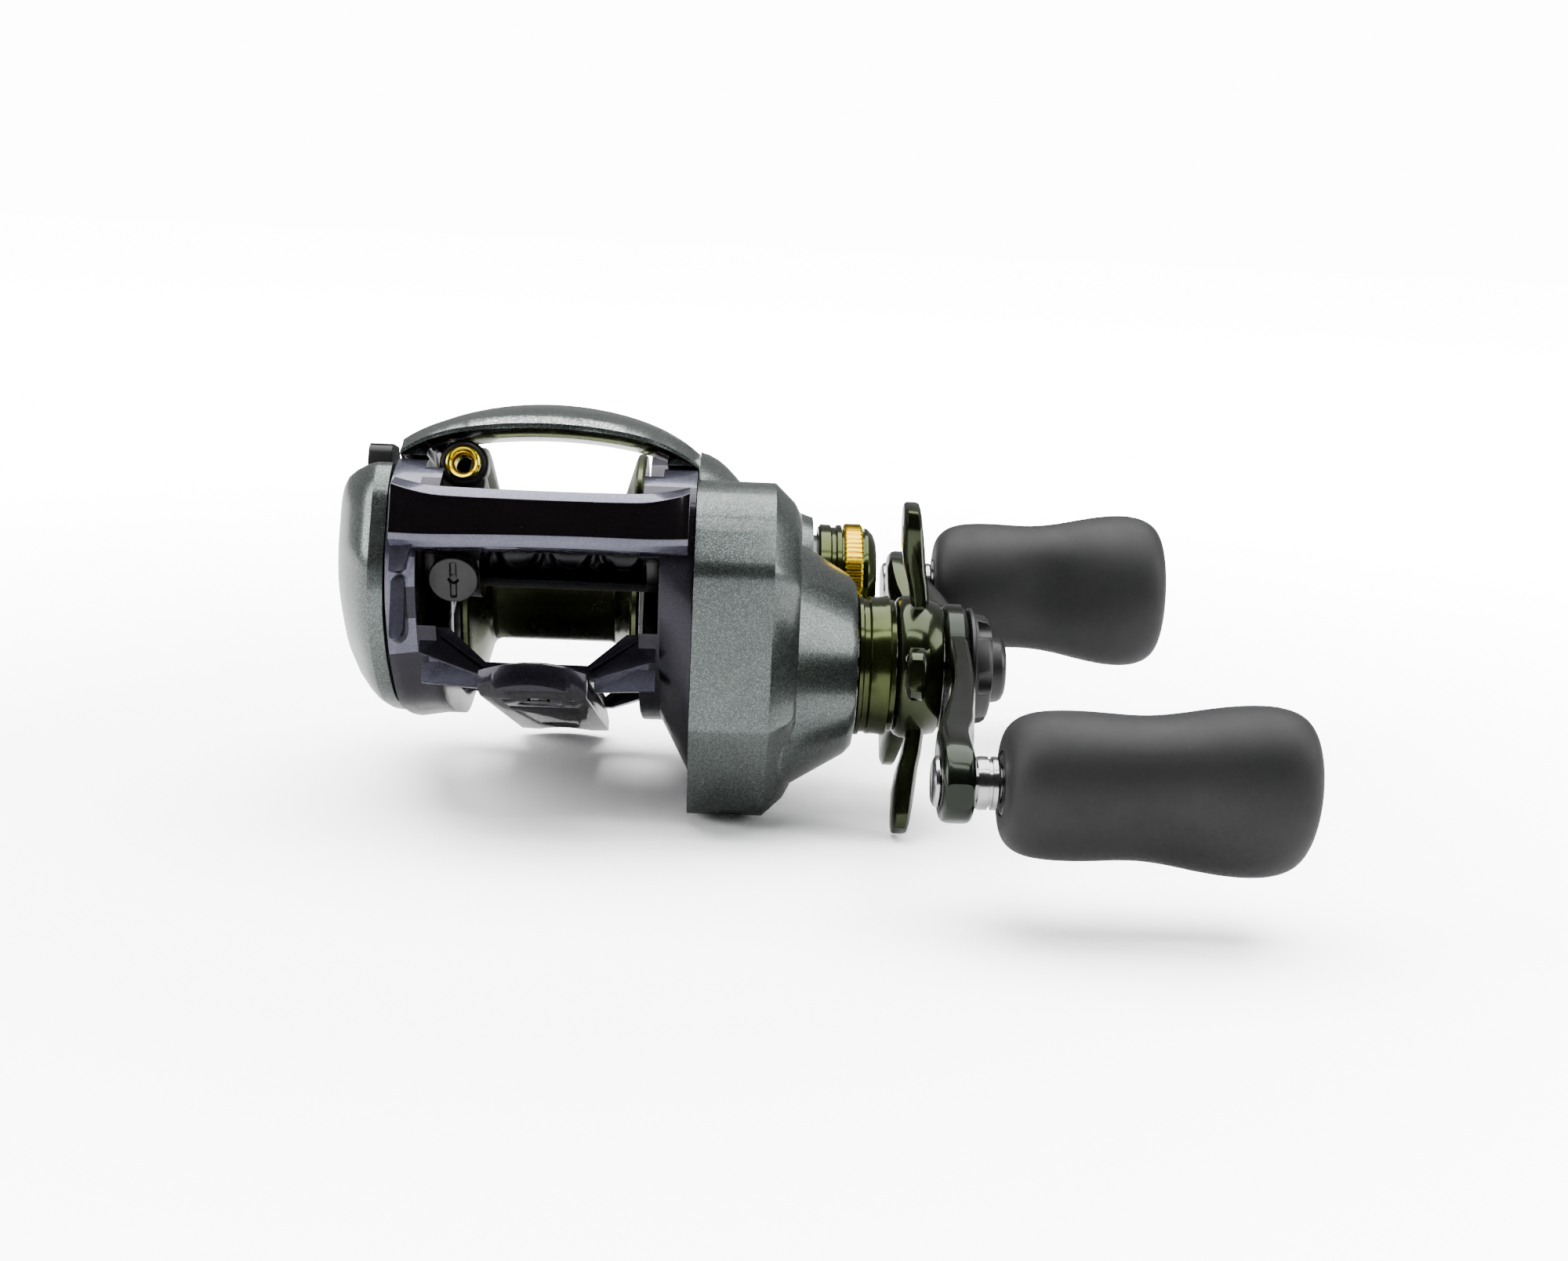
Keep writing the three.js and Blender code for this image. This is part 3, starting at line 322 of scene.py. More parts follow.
def softened(corners, radius=2.0, count=4):
    """An outline with its corners rounded. A corner may carry its own radius."""
    points = []
    for i, corner in enumerate(corners):
        here = Vector(corner[:2])
        wish = corner[2] if len(corner) > 2 else radius
        before, after = Vector(corners[i - 1][:2]), Vector(corners[(i + 1) % len(corners)][:2])
        a = here + (before - here).normalized() * min(wish, (before - here).length * 0.45)
        b = here + (after - here).normalized() * min(wish, (after - here).length * 0.45)
        if wish < 0.05:
            points.append(tuple(here))
            continue
        for k in range(count + 1):
            t = k / count
            points.append(tuple(a * (1 - t) ** 2 + here * 2 * t * (1 - t) + b * t * t))
    return points


def table_way(degrees):
    """A direction in the level frame, at an angle on the table from up towards the front."""
    angle = math.radians(degrees) + PITCH
    return (-math.sin(angle), math.cos(angle))


def dressed(piece, *finishes):
    piece.data.materials.clear()
    for finish in finishes:
        piece.data.materials.append(finish)
    return piece


def facing(piece, way, least, index, most=2.0):
    """Gives another finish to the faces that look a given way in the level frame: here a lighter copy painted as a
    highlight, or a darker one painted as shade.
    """
    way = Vector(way).normalized()
    for face in piece.data.polygons:
        if least < face.normal.dot(way) < most:
            face.material_index = index
    return piece


def finished(piece, body, finish, slot, *nodes, smooth=40):
    """Stands a piece on the table, gives it its finish and puts it in the place of CAD nodes."""
    only(piece)
    bpy.ops.object.shade_smooth_by_angle(angle=math.radians(smooth))
    if not piece.data.materials:
        piece.data.materials.append(finish)
    piece.matrix_world = STAND
    place_mesh(piece)
    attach(piece, body)
    if nodes:
        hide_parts(*nodes)
    return piece


def dense(outline, step=1.2):
    """An outline with points added along its long edges."""
    points = []
    for i, here in enumerate(outline):
        after = outline[(i + 1) % len(outline)]
        count = max(1, round(math.dist(here, after) / step))
        for k in range(count):
            t = k / count
            points.append((here[0] + (after[0] - here[0]) * t, here[1] + (after[1] - here[1]) * t))
    return points


# ---- finishes ----------------------------------------------------------------------------------


class Tree:
    """A node tree with short calls for its nodes and links."""

    def __init__(self, tree):
        self.tree = tree

    def node(self, kind, **settings):
        made = self.tree.nodes.new(kind)
        for key, value in settings.items():
            if hasattr(made, key):
                setattr(made, key, value)
            else:
                made.inputs[key.replace("_", " ").title()].default_value = value
        return made

    def link(self, a, b):
        self.tree.links.new(a, b)

    def scale(self, source, value):
        node = self.node("ShaderNodeMath", operation="MULTIPLY")
        self.link(source, node.inputs[0])
        node.inputs[1].default_value = value
        return node.outputs[0]

    def remap(self, source, low, high, to_low, to_high):
        node = self.node("ShaderNodeMapRange")
        self.link(source, node.inputs["Value"])
        for key, value in (("From Min", low), ("From Max", high), ("To Min", to_low), ("To Max", to_high)):
            node.inputs[key].default_value = value
        return node.outputs[0]

    def mix(self, factor, a, b):
        node = self.node("ShaderNodeMix", data_type="RGBA")
        self.link(factor, node.inputs["Factor"])
        for socket, value in ((node.inputs["A"], a), (node.inputs["B"], b)):
            if hasattr(value, "links"):
                self.link(value, socket)
            else:
                socket.default_value = (*value[:3], 1)
        return node.outputs["Result"]

    def noise(self, place, scale, detail=3.0, rough=0.5):
        node = self.node("ShaderNodeTexNoise")
        self.link(place, node.inputs["Vector"])
        node.inputs["Scale"].default_value = scale
        node.inputs["Detail"].default_value = detail
        node.inputs["Roughness"].default_value = rough
        return node


def new_group(name, inputs, outputs):
    """A shader node group with named inputs and outputs. Returns the group, its tree and its ends."""
    group = bpy.data.node_groups.new(name, "ShaderNodeTree")
    for key, kind, value in inputs:
        socket = group.interface.new_socket(name=key, in_out="INPUT", socket_type=kind)
        if value is not None:
            socket.default_value = value
    for key, kind in outputs:
        group.interface.new_socket(name=key, in_out="OUTPUT", socket_type=kind)
    tree = Tree(group)
    return group, tree, tree.node("NodeGroupInput"), tree.node("NodeGroupOutput")


FLOAT, COLOUR, VECTOR = "NodeSocketFloat", "NodeSocketColor", "NodeSocketVector"


def make_flake_group():
    """Fine metal flakes in paint: each flake has its own brightness and its own slight tilt."""
    inputs = [("Place", VECTOR, None), ("Base", COLOUR, (0.2, 0.2, 0.2, 1)), ("Flake", COLOUR, (0.6, 0.6, 0.6, 1))]
    inputs += [("Density", FLOAT, 6500.0), ("Share", FLOAT, 0.5)]
    group, t, given, out = new_group("paint_flakes", inputs, [("Color", COLOUR), ("Height", FLOAT), ("Mask", FLOAT)])
    cells = t.node("ShaderNodeTexVoronoi", feature="F1")
    t.link(given.outputs["Place"], cells.inputs["Vector"])
    t.link(given.outputs["Density"], cells.inputs["Scale"])
    split = t.node("ShaderNodeSeparateColor")
    t.link(cells.outputs["Color"], split.inputs[0])
    bright = t.remap(split.outputs[0], 0.55, 1.0, 0.0, 1.0)
    mask = t.node("ShaderNodeMath", operation="MULTIPLY")
    t.link(bright, mask.inputs[0])
    t.link(given.outputs["Share"], mask.inputs[1])
    t.link(t.mix(mask.outputs[0], given.outputs["Base"], given.outputs["Flake"]), out.inputs["Color"])
    t.link(split.outputs[1], out.inputs["Height"])
    t.link(mask.outputs[0], out.inputs["Mask"])
    return group


def make_handling_group():
    """Faint smudges and dust on a handled surface, as changes of roughness and of brightness."""
    inputs = [("Place", VECTOR, None), ("Smudge", FLOAT, 0.08), ("Roughness", FLOAT, 0.3)]
    group, t, given, out = new_group("handling", inputs, [("Roughness", FLOAT), ("Dust", FLOAT)])
    broad = t.noise(given.outputs["Place"], 90.0, 4.0, 0.6)
    centred = t.remap(broad.outputs["Fac"], 0.3, 0.7, -1.0, 1.0)
    change = t.node("ShaderNodeMath", operation="MULTIPLY")
    t.link(centred, change.inputs[0])
    t.link(given.outputs["Smudge"], change.inputs[1])
    total = t.node("ShaderNodeMath", operation="ADD", use_clamp=True)
    t.link(change.outputs[0], total.inputs[0])
    t.link(given.outputs["Roughness"], total.inputs[1])
    t.link(total.outputs[0], out.inputs["Roughness"])
    specks = t.noise(given.outputs["Place"], 3600.0, 1.0, 0.5)
    t.link(t.remap(specks.outputs["Fac"], 0.80, 0.84, 0.0, 1.0), out.inputs["Dust"])
    return group


def make_grain_group():
    """A fine moulded or blasted grain, as a height."""
    inputs = [("Place", VECTOR, None), ("Scale", FLOAT, 4000.0)]
    group, t, given, out = new_group("fine_grain", inputs, [("Height", FLOAT)])
    fine = t.node("ShaderNodeTexNoise")
    t.link(given.outputs["Place"], fine.inputs["Vector"])
    t.link(given.outputs["Scale"], fine.inputs["Scale"])
    fine.inputs["Detail"].default_value = 2.0
    t.link(fine.outputs["Fac"], out.inputs["Height"])
    return group


def make_lathe_group():
    """The fine lines that a cutting tool leaves round a turned piece: bands along X."""
    inputs = [("Place", VECTOR, None), ("Scale", FLOAT, 5200.0)]
    group, t, given, out = new_group("lathe_lines", inputs, [("Height", FLOAT)])
    split = t.node("ShaderNodeSeparateXYZ")
    t.link(given.outputs["Place"], split.inputs[0])
    join_ = t.node("ShaderNodeCombineXYZ")
    t.link(split.outputs[0], join_.inputs[0])
    lines = t.node("ShaderNodeTexNoise")
    t.link(join_.outputs[0], lines.inputs["Vector"])
    t.link(given.outputs["Scale"], lines.inputs["Scale"])
    lines.inputs["Detail"].default_value = 1.0
    t.link(lines.outputs["Fac"], out.inputs["Height"])
    return group


FLAKES = make_flake_group()
HANDLING = make_handling_group()
GRAIN = make_grain_group()
LATHE = make_lathe_group()


def new_material(name, roughness, smudge, metallic=0.0, coat=0.0, coat_rough=0.06):
    """A material with its object coordinates, its shader and its roughness from handling."""
    material = bpy.data.materials.new(name)
    material.use_nodes = True
    tree = Tree(material.node_tree)
    shader = material.node_tree.nodes["Principled BSDF"]
    shader.inputs["Metallic"].default_value = metallic
    shader.inputs["Coat Weight"].default_value = coat
    shader.inputs["Coat Roughness"].default_value = coat_rough
    place = tree.node("ShaderNodeTexCoord").outputs["Object"]
    handled = group_node(tree, HANDLING, place, Smudge=smudge, Roughness=roughness)
    tree.link(handled.outputs["Roughness"], shader.inputs["Roughness"])
    return material, tree, shader, place, handled


def group_node(tree, group, place, **values):
    node = tree.node("ShaderNodeGroup")
    node.node_tree = group
    tree.link(place, node.inputs["Place"])
    for key, value in values.items():
        socket = node.inputs[key]
        socket.default_value = (*value, 1) if isinstance(value, tuple) else value
    return node


def bump(tree, shader, height, strength, distance, after=None):
    node = tree.node("ShaderNodeBump")
    node.inputs["Strength"].default_value = strength
    node.inputs["Distance"].default_value = distance
    tree.link(height, node.inputs["Height"])
    if after:
        tree.link(after, node.inputs["Normal"])
    tree.link(node.outputs[0], shader.inputs["Normal"])
    return node.outputs[0]


def flake_paint(name, base, flake, roughness, density=13000.0, share=0.6, coat=0.35, metallic=0.8, tilt=0.10):
    """Metallic paint under a clear coat."""
    material, tree, shader, place, handled = new_material(name, roughness, 0.04, metallic, coat)
    flakes = group_node(tree, FLAKES, place, Base=base, Flake=flake, Density=density, Share=share)
    cloud = tree.noise(place, 60.0, 2.0)
    shade = tree.mix(tree.remap(cloud.outputs["Fac"], 0.3, 0.7, 0.0, 0.12), flakes.outputs["Color"], flake)
    tree.link(tree.mix(tree.scale(handled.outputs["Dust"], 0.25), shade, (0.6, 0.6, 0.58)), shader.inputs["Base Color"])
    bump(tree, shader, flakes.outputs["Height"], tilt, 0.00004)
    return material


def anodised(name, base, glint, roughness, lathe=True, coat=0.2, metallic=0.9):
    """Dyed metal: a tint that shifts a little over the surface, with fine tool lines or blast grain."""
    material, tree, shader, place, handled = new_material(name, roughness, 0.05, metallic, coat)
    drift = tree.noise(place, 140.0, 2.0)
    colour = tree.mix(tree.remap(drift.outputs["Fac"], 0.35, 0.7, 0.0, 0.6), base, glint)
    tree.link(tree.mix(tree.scale(handled.outputs["Dust"], 0.2), colour, (0.5, 0.5, 0.46)), shader.inputs["Base Color"])
    pattern = group_node(tree, LATHE if lathe else GRAIN, place, Scale=4200.0 if lathe else 5200.0)
    bump(tree, shader, pattern.outputs["Height"], 0.10 if lathe else 0.16, 0.00003)
    return material


def moulded(name, base, worn, roughness, grain=3600.0, strength=0.25, sheen=0.0, dust=0.3):
    """Moulded plastic or rubber: a fine grain, faint rubbed places and a little dust."""
    material, tree, shader, place, handled = new_material(name, roughness, 0.06)
    shader.inputs["Sheen Weight"].default_value = sheen
    shader.inputs["Sheen Roughness"].default_value = 0.4
    patches = tree.noise(place, 75.0, 4.0, 0.6)
    colour = tree.mix(tree.remap(patches.outputs["Fac"], 0.45, 0.75, 0.0, 1.0), base, worn)
    tree.link(tree.mix(tree.scale(handled.outputs["Dust"], dust), colour, (0.42, 0.42, 0.4)), shader.inputs["Base Color"])
    texture = group_node(tree, GRAIN, place, Scale=grain)
    bump(tree, shader, texture.outputs["Height"], strength, 0.00006)
    return material


def machined(name, base, tint, roughness, scale=5200.0):
    """Bare metal with lathe lines."""
    material, tree, shader, place, handled = new_material(name, roughness, 0.06, 1.0)
    drift = tree.noise(place, 220.0, 3.0)
    tree.link(tree.mix(tree.remap(drift.outputs["Fac"], 0.35, 0.7, 0.0, 0.5), base, tint), shader.inputs["Base Color"])
    lines = group_node(tree, LATHE, place, Scale=scale)
    bump(tree, shader, lines.outputs["Height"], 0.12, 0.00003)
    return material


PEARL = flake_paint("pearl_grey_paint", (0.055, 0.065, 0.063), (0.36, 0.41, 0.39), 0.28, 11000.0, 0.5)
# A brighter copy of the pearl paint: a painted highlight on the hood's front bevel.
PEARL_PAINTED_HIGHLIGHT = flake_paint("pearl_bevel_paint", (0.10, 0.115, 0.11), (0.85, 0.92, 0.88), 0.28, 7000.0, 0.8)
VIOLET = flake_paint("violet_black_paint", (0.014, 0.012, 0.019), (0.048, 0.044, 0.066), 0.30, 15000.0, 0.4, 0.3, 0.75, 0.04)
VIOLET_GLOSS = flake_paint("violet_gloss", (0.006, 0.0045, 0.0065), (0.020, 0.013, 0.018), 0.12, 15000.0, 0.35, 1.0, 0.6, 0.02)
# A lighter copy of the violet paint: a painted highlight on faces that look up, on front faces and on rounded edges of
# the frame, crossbar and foot.
VIOLET_PAINTED_HIGHLIGHT = flake_paint("lavender_bevel_paint", (0.085, 0.085, 0.12), (0.26, 0.26, 0.35), 0.24, 14000.0, 0.5, 0.6, 0.75, 0.05)
# A near-black copy: painted shade on the faces under the hood.
HOOD_PAINTED_SHADE = anodised("green_black_inlay", (0.005, 0.0075, 0.006), (0.011, 0.017, 0.011), 0.15, False, 0.8, 0.3)
OLIVE = anodised("olive_anodising", (0.042, 0.053, 0.017), (0.075, 0.092, 0.024), 0.17)
SPOOL_OLIVE = anodised("spool_anodising", (0.10, 0.115, 0.055), (0.16, 0.18, 0.08), 0.26)
CRANK_GREEN = anodised("crank_anodising", (0.014, 0.019, 0.013), (0.027, 0.036, 0.023), 0.22, False, 0.3)
STAR_GREEN = anodised("star_anodising", (0.028, 0.037, 0.016), (0.048, 0.062, 0.022), 0.18, False, 0.3)
GOLD = anodised("gold_plating", (0.95, 0.68, 0.012), (0.98, 0.78, 0.03), 0.22, True, 0.0, 1.0)
BLACK = moulded("black_plastic", (0.005, 0.005, 0.0055), (0.010, 0.010, 0.011), 0.38, 3600.0, 0.2, 0.0, 0.12)
RUBBER = moulded("soft_touch_rubber", (0.0050, 0.0050, 0.0060), (0.0085, 0.0085, 0.0095), 0.60, 6500.0, 0.10, 0.03, 0.10)
BLACK_STEEL = machined("blackened_steel", (0.020, 0.020, 0.022), (0.040, 0.040, 0.043), 0.26)
STEEL = machined("stainless_steel", (0.50, 0.50, 0.51), (0.66, 0.66, 0.66), 0.16)
BRASS = machined("machined_brass", (0.62, 0.42, 0.16), (0.75, 0.54, 0.22), 0.24)
FRICTION = moulded("friction_sheet", (0.020, 0.019, 0.018), (0.035, 0.033, 0.03), 0.85, 1500.0, 0.6)
CAD_FINISHES = {
    "pearl_grey": PEARL, "frame_violet": VIOLET, "olive_anodised": OLIVE, "crank_green": CRANK_GREEN, "gold": GOLD,
    "black_plastic": BLACK, "rubber": RUBBER, "steel": STEEL, "gear_brass": BRASS, "drag_washer": FRICTION,
}


def finish_cad_nodes():
    """Gives every CAD node the finish of its slot. Those that are replaced later are hidden."""
    for part in frame["record"]["subparts"]:
        node = frame["nodes"][part["node"]]
        node.data.materials.clear()
        node.data.materials.append(CAD_FINISHES[part["material_slot"]])


# ---- gear side cover ---------------------------------------------------------------------------

COVER_CORNERS = [
    (-37.4, -4.6, 1.2), (-34.9, 3.9, 2.6), (-29.5, 8.2, 5), (-14, 8.9, 4), (0, 9.7, 6), (9, 9.0, 5), (16.5, 6, 5),
    (20.8, 0, 5), (21.4, -8, 5), (17.5, -17, 6), (8, -25, 6), (-3, -30.4, 5), (-11.6, -33.3, 3), (-17.6, -32.0, 4),
    (-31.4, -23.5, 0.5),
]


def table_value(x, rows):
    """A value read from rows of (x, value), with straight lines between them."""
    if x <= rows[0][0]:
        return rows[0][1]
    for (x0, a), (x1, b) in zip(rows, rows[1:]):
        if x <= x1:
            return a + (b - a) * (x - x0) / (x1 - x0)
    return rows[-1][1]


def shoulder(y, z, lift):
    """How far a side's top swells to cover the spool."""
    along = max(0.0, 1 - (y / 15.5) ** 2) ** 0.8
    up = min(1.0, max(0.0, (z - 2) / 6))
    return 1.12 * lift * along * up


GEAR_SHOULDER = [(19, 6.6), (20.5, 6.1), (22, 5.2), (24.2, 3), (26, 0.6), (27, 0)]
PALM_SHOULDER = [(-24.6, 0), (-24, 0.8), (-22, 3.6), (-20, 5.8), (-18.5, 6.6)]


def make_gear_cover():
    x0 = span("gear_cover")[0] - 0.2
    middle = (0, -12, -11)
    outline = softened(COVER_CORNERS, 2.0, 5)
    dense_outline = dense(outline)
    cover = drawn_face([(x0, y, z) for y, z in dense_outline])
    planes = [(20, 1), (21.2, 1), (22.4, 1), (23.6, 1), (24.8, 1), (26, 1), (28.5, 1), (31.0, 0.892), (31.9, 0.82)]
    here, size = x0, 1.0
    for x, scale in planes:
        bpy.ops.mesh.extrude_region_move(TRANSFORM_OT_translate={"value": (x - here, 0, 0)})
        bpy.ops.transform.resize(value=(1, scale / size, scale / size), center_override=(x, *middle[1:]))
        here, size = x, scale
    tidy(cover)

    def swell(co):
        lift = table_value(co.x, GEAR_SHOULDER)
        co.z += shoulder(co.y, co.z, lift)
        return co

    moved(cover, swell)
    cone = turned(
        "cone",
        [(27, 0), (27, 17.4), (30.6, 16.9), (31.7, 15.9), (38.7, 11.7), (39.6, 10.7), (39.6, 0)],
        DRIVE, 112,
    )
    boss = turned("boss", [(27, 0), (27, 11.3), (32.2, 9.3), (34.4, 8.6), (34.4, 0)], SPOOL, 72)
    neck = rod(34, 38.2, 6.2, SPOOL, 64)
    join(cover, cone, boss, neck)
    scallop = cut(rod(34.5, 41, 8.5, SPOOL, 72), rod(30, 42, 6.25, SPOOL, 64))
    room = slab("room", [(y * 0.95 - 0.6, z * 0.95 - 0.55) for y, z in outline], x0 - 1, 26.8)
    drag_rooms = [rod(x0 - 1, 27, 17.0, DRIVE, 64), rod(26, 31.5, 11.6, DRIVE, 64), rod(26, 38.2, 8.2, DRIVE, 64)]
    shaft_way = rod(26, 41, 6.2, DRIVE, 48)
    yoke_room = rod(26, 31.4, 7.9, SPOOL, 48)
    spool_way = rod(26, 40, 4.9, SPOOL, 40)
    cut(cover, room, scallop, *drag_rooms, shaft_way, yoke_room, spool_way)
    eased(cover, 0.25, 3, 20)
    return finished(cover, "reel_body", PEARL, "pearl_grey", "gear_cover", smooth=22)


# ---- palm side ---------------------------------------------------------------------------------

PALM_CORNERS = [
    (-35.0, -4.5, 1.5), (-34.2, 4.4, 1.8), (-31.6, 8.2, 2), (-16, 9.0, 4), (0, 9.8, 6), (8, 9, 5), (14.5, 7, 5),
    (19, 1, 5), (20.4, -6, 5), (17, -14, 6), (9, -19.4, 5), (-8, -20.4, 5), (-20, -20.0, 5), (-29, -15.4, 5),
    (-33.6, -10.5, 3),
]


def make_palm_cover():
    low, high = span("palm_cover")
    outline = softened(PALM_CORNERS, 2.0, 5)
    cover = drawn_face([(high, y, z) for y, z in dense(outline)])
    centre = (-6, 4.5)
    planes = [(-19.5, 1), (-20.3, 1), (-21.0, 0.985), (-22.0, 0.945), (-23.4, 0.87), (-24.8, 0.765), (-25.8, 0.64), (low + 0.7, 0.48)]
    here, size = high, 1.0
    for x, scale in planes:
        bpy.ops.mesh.extrude_region_move(TRANSFORM_OT_translate={"value": (x - here, 0, 0)})
        bpy.ops.transform.resize(value=(1, scale / size, scale / size), center_override=(x, *centre))
        here, size = x, scale
    tidy(cover)

    def swell(co):
        lift = table_value(co.x, PALM_SHOULDER)
        co.z += shoulder(co.y, co.z, lift)
        return co

    moved(cover, swell)
    room = slab("room", [(y * 0.90 - 0.6, z * 0.90 - 0.4) for y, z in outline], -21.4, high + 1)
    pocket = block(-23.2, high + 1, -27.2, -14.6, 5.6, 13)
    dial_y, dial_z = axis_of("brake_dial_turn")
    dial_room = turned("dial_room", [(-29, 0), (-29, 4.3), (-26.1, 4.1), (-26.1, 0)], (dial_y, dial_z), 48)
    dial_ring = turned(
        "dial_ring", [(-29, 5.6), (-29, 6.0), (-26.3, 5.9), (-26.3, 5.6), (-29, 5.6)], (dial_y, dial_z), 64
    )
    bearing_room = rod(-24.9, high, 5.6, SPOOL, 48)
    cut(cover, room, pocket, dial_room, dial_ring, bearing_room)
    eased(cover, 0.25, 3, 20)
    return finished(cover, "palm_side", PEARL, "pearl_grey", "palm_cover", smooth=22)


def make_palm_lever():
    side = [(-26, 6.2), (-19, 6.2), (-19, 11.2), (-20, 12.2), (-25.2, 11.6), (-26, 10.8)]
    lever = slab("palm_lever_piece", softened(side, 0.6, 2), -22.5, -19.6)
    for i in range(7):
        y = -25.6 + i * 0.95
        groove = block(-23, -19, y, y + 0.42, 10.9, 13)
        cut(lever, groove)
    eased(lever, 0.12, 2, 30)
    return finished(lever, "palm_lever", BLACK, "black_plastic", "palm_release_lever", smooth=30)


def make_brake_dial():
    axis = axis_of("brake_dial_turn")
    dial = turned("brake_dial_piece", [(-26.5, 0), (-26.5, 3.9), (-27, 3.9), (-27.25, 3.6), (-27.25, 0)], axis, 64)
    slot = block(-28, -26.85, axis[0] - 3, axis[0] + 3, axis[1] - 0.4, axis[1] + 0.4)
    cut(dial, slot)
    for i in range(24):
        angle = math.radians(i * 15)
        y, z = axis[0] + 3.95 * math.cos(angle), axis[1] + 3.95 * math.sin(angle)
        cut(dial, rod(-28, -26.2, 0.22, (y, z), 8))
    eased(dial, 0.08, 2, 40)
    return finished(dial, "brake_dial", BLACK, "black_plastic", "brake_dial", smooth=30)


# ---- hood --------------------------------------------------------------------------------------

HOOD_REACH = 18.5


def hood_drop(x):
    t = abs(x) / HOOD_REACH
    return 2.9 * t * t + 1.2 * t ** 6


def make_hood():
    low, high = span("top_hood")
    high += 0.2
    section = [(-30.0, 13.3), (-30.1, 13.9), (-28.9, 15.1), (-26.2, 16.6), (-20.3, 18.5), (-17, 18.8), (-12.9, 18.9)]
    section += [(-12.3, 18.3), (-12.0, 16.6), (-14.5, 15.2), (-19.5, 13.8), (-24, 13.2), (-28.6, 13.0)]
    hood = dressed(drawn_face([(low, y, z) for y, z in section]), PEARL, HOOD_PAINTED_SHADE, PEARL_PAINTED_HIGHLIGHT)
    steps = 40
    for _ in range(steps):
        step = (high - low) / steps
        bpy.ops.mesh.extrude_region_move(TRANSFORM_OT_translate={"value": (step, 0, 0)})
    tidy(hood)

    def arched(co):
        thick = 1 - 0.32 * (co.x / HOOD_REACH) ** 2
        co.z = (co.z - 14.3) * thick + 14.3 - hood_drop(co.x)
        if abs(co.x) > 11.5 and co.y < -27:
            co.y += 0.10 * (abs(co.x) - 11.5) ** 1.5
        return co

    moved(hood, arched)
    feet = [
        slab("foot", [(-28.0, 9.7), (-14, 9.7), (-14, 12.6), (-21, 12.2), (-27.6, 10.6)], x0, x1)
        for x0, x1 in ((low, -14.9), (14.9, high))
    ]
    join(hood, *feet)
    eased(hood, 0.16, 3, 16)
    # Faces looking down take the near-black copy, painted shade under the hood.
    facing(hood, (0, 0, -1), 0.35, 1)
    # The strip looking forward and up takes the bright pearl copy, a painted highlight on the front bevel.
    facing(hood, (0, -1, 0.9), 0.985, 2)
    return finished(hood, "reel_body", PEARL, "pearl_grey", "top_hood", smooth=24)


# ---- frame -------------------------------------------------------------------------------------

RING_CORNERS = [
    (-35.6, -3, 1.2), (-34.9, 4.2, 1.5), (-31.4, 7.4, 2), (-28.2, 9.3, 1.5), (-13.2, 9.4, 0.4),
    (-10.3, 13.0, 0.5), (-6, 16.4, 3),
    (0, 17.9, 3), (7, 16.6, 3), (13, 12.6, 3), (17.6, 5.7, 4), (20.3, -2, 5), (20.2, -9, 5), (17, -15, 4),
    (8, -19.6, 4), (-6, -20.3, 4), (-18, -20, 4), (-28, -15, 4), (-34, -9, 3),
]
WALL = 12.3
NOSE_WALL = 14.6


def ring_side(x0, x1, drop, grow):
    """One side of the frame: its outline sinks at its top and grows at its bottom towards the seam."""
    steps = [x0 + (x1 - x0) * t for t in (0.2, 0.4, 0.6, 0.8)]
    side = slab("side", dense(softened(RING_CORNERS, 2.0, 4), 1.8), x0, x1, steps)

    def shaped(co):
        t = min(1, max(0, ((co.x - x0) / (x1 - x0) - 0.4) / 0.6))
        if co.z > 10:
            co.z -= drop * t * min(1, (co.z - 10) / 4)
        if co.z < -5:
            low = min(1, (-5 - co.z) / 12)
            co.z -= grow * t * low
        return co

    return moved(side, shaped)


def strut(side, y0, y1):
    """A channelled strut from a side of the frame down to the pad over the foot."""
    outline = [(11.4, -11.4), (14.4, -11.4), (14.4, -15), (7.2, -17.4), (3.6, -17.4), (3.6, -15.9), (6.2, -15.9)]
    piece = front_slab("strut", [(x * side, z) for x, z in outline], y0, y1)
    groove = front_slab(
        "groove", [(x * side, z) for x, z in [(12.2, -12.6), (11.8, -13.2), (6.7, -16.9), (6.4, -16.5)]],
        y0 - 0.1, y0 + 0.6,
    )
    return cut(piece, groove)


def web(side, y0, y1):
    """The thin wall that fills the corner under a front strut."""
    outline = [(11.4, -13), (14.4, -12), (14.4, -18.4), (6.9, -18.8), (6.9, -16.8)]
    return front_slab("web", [(x * side, z) for x, z in outline], y0, y1)


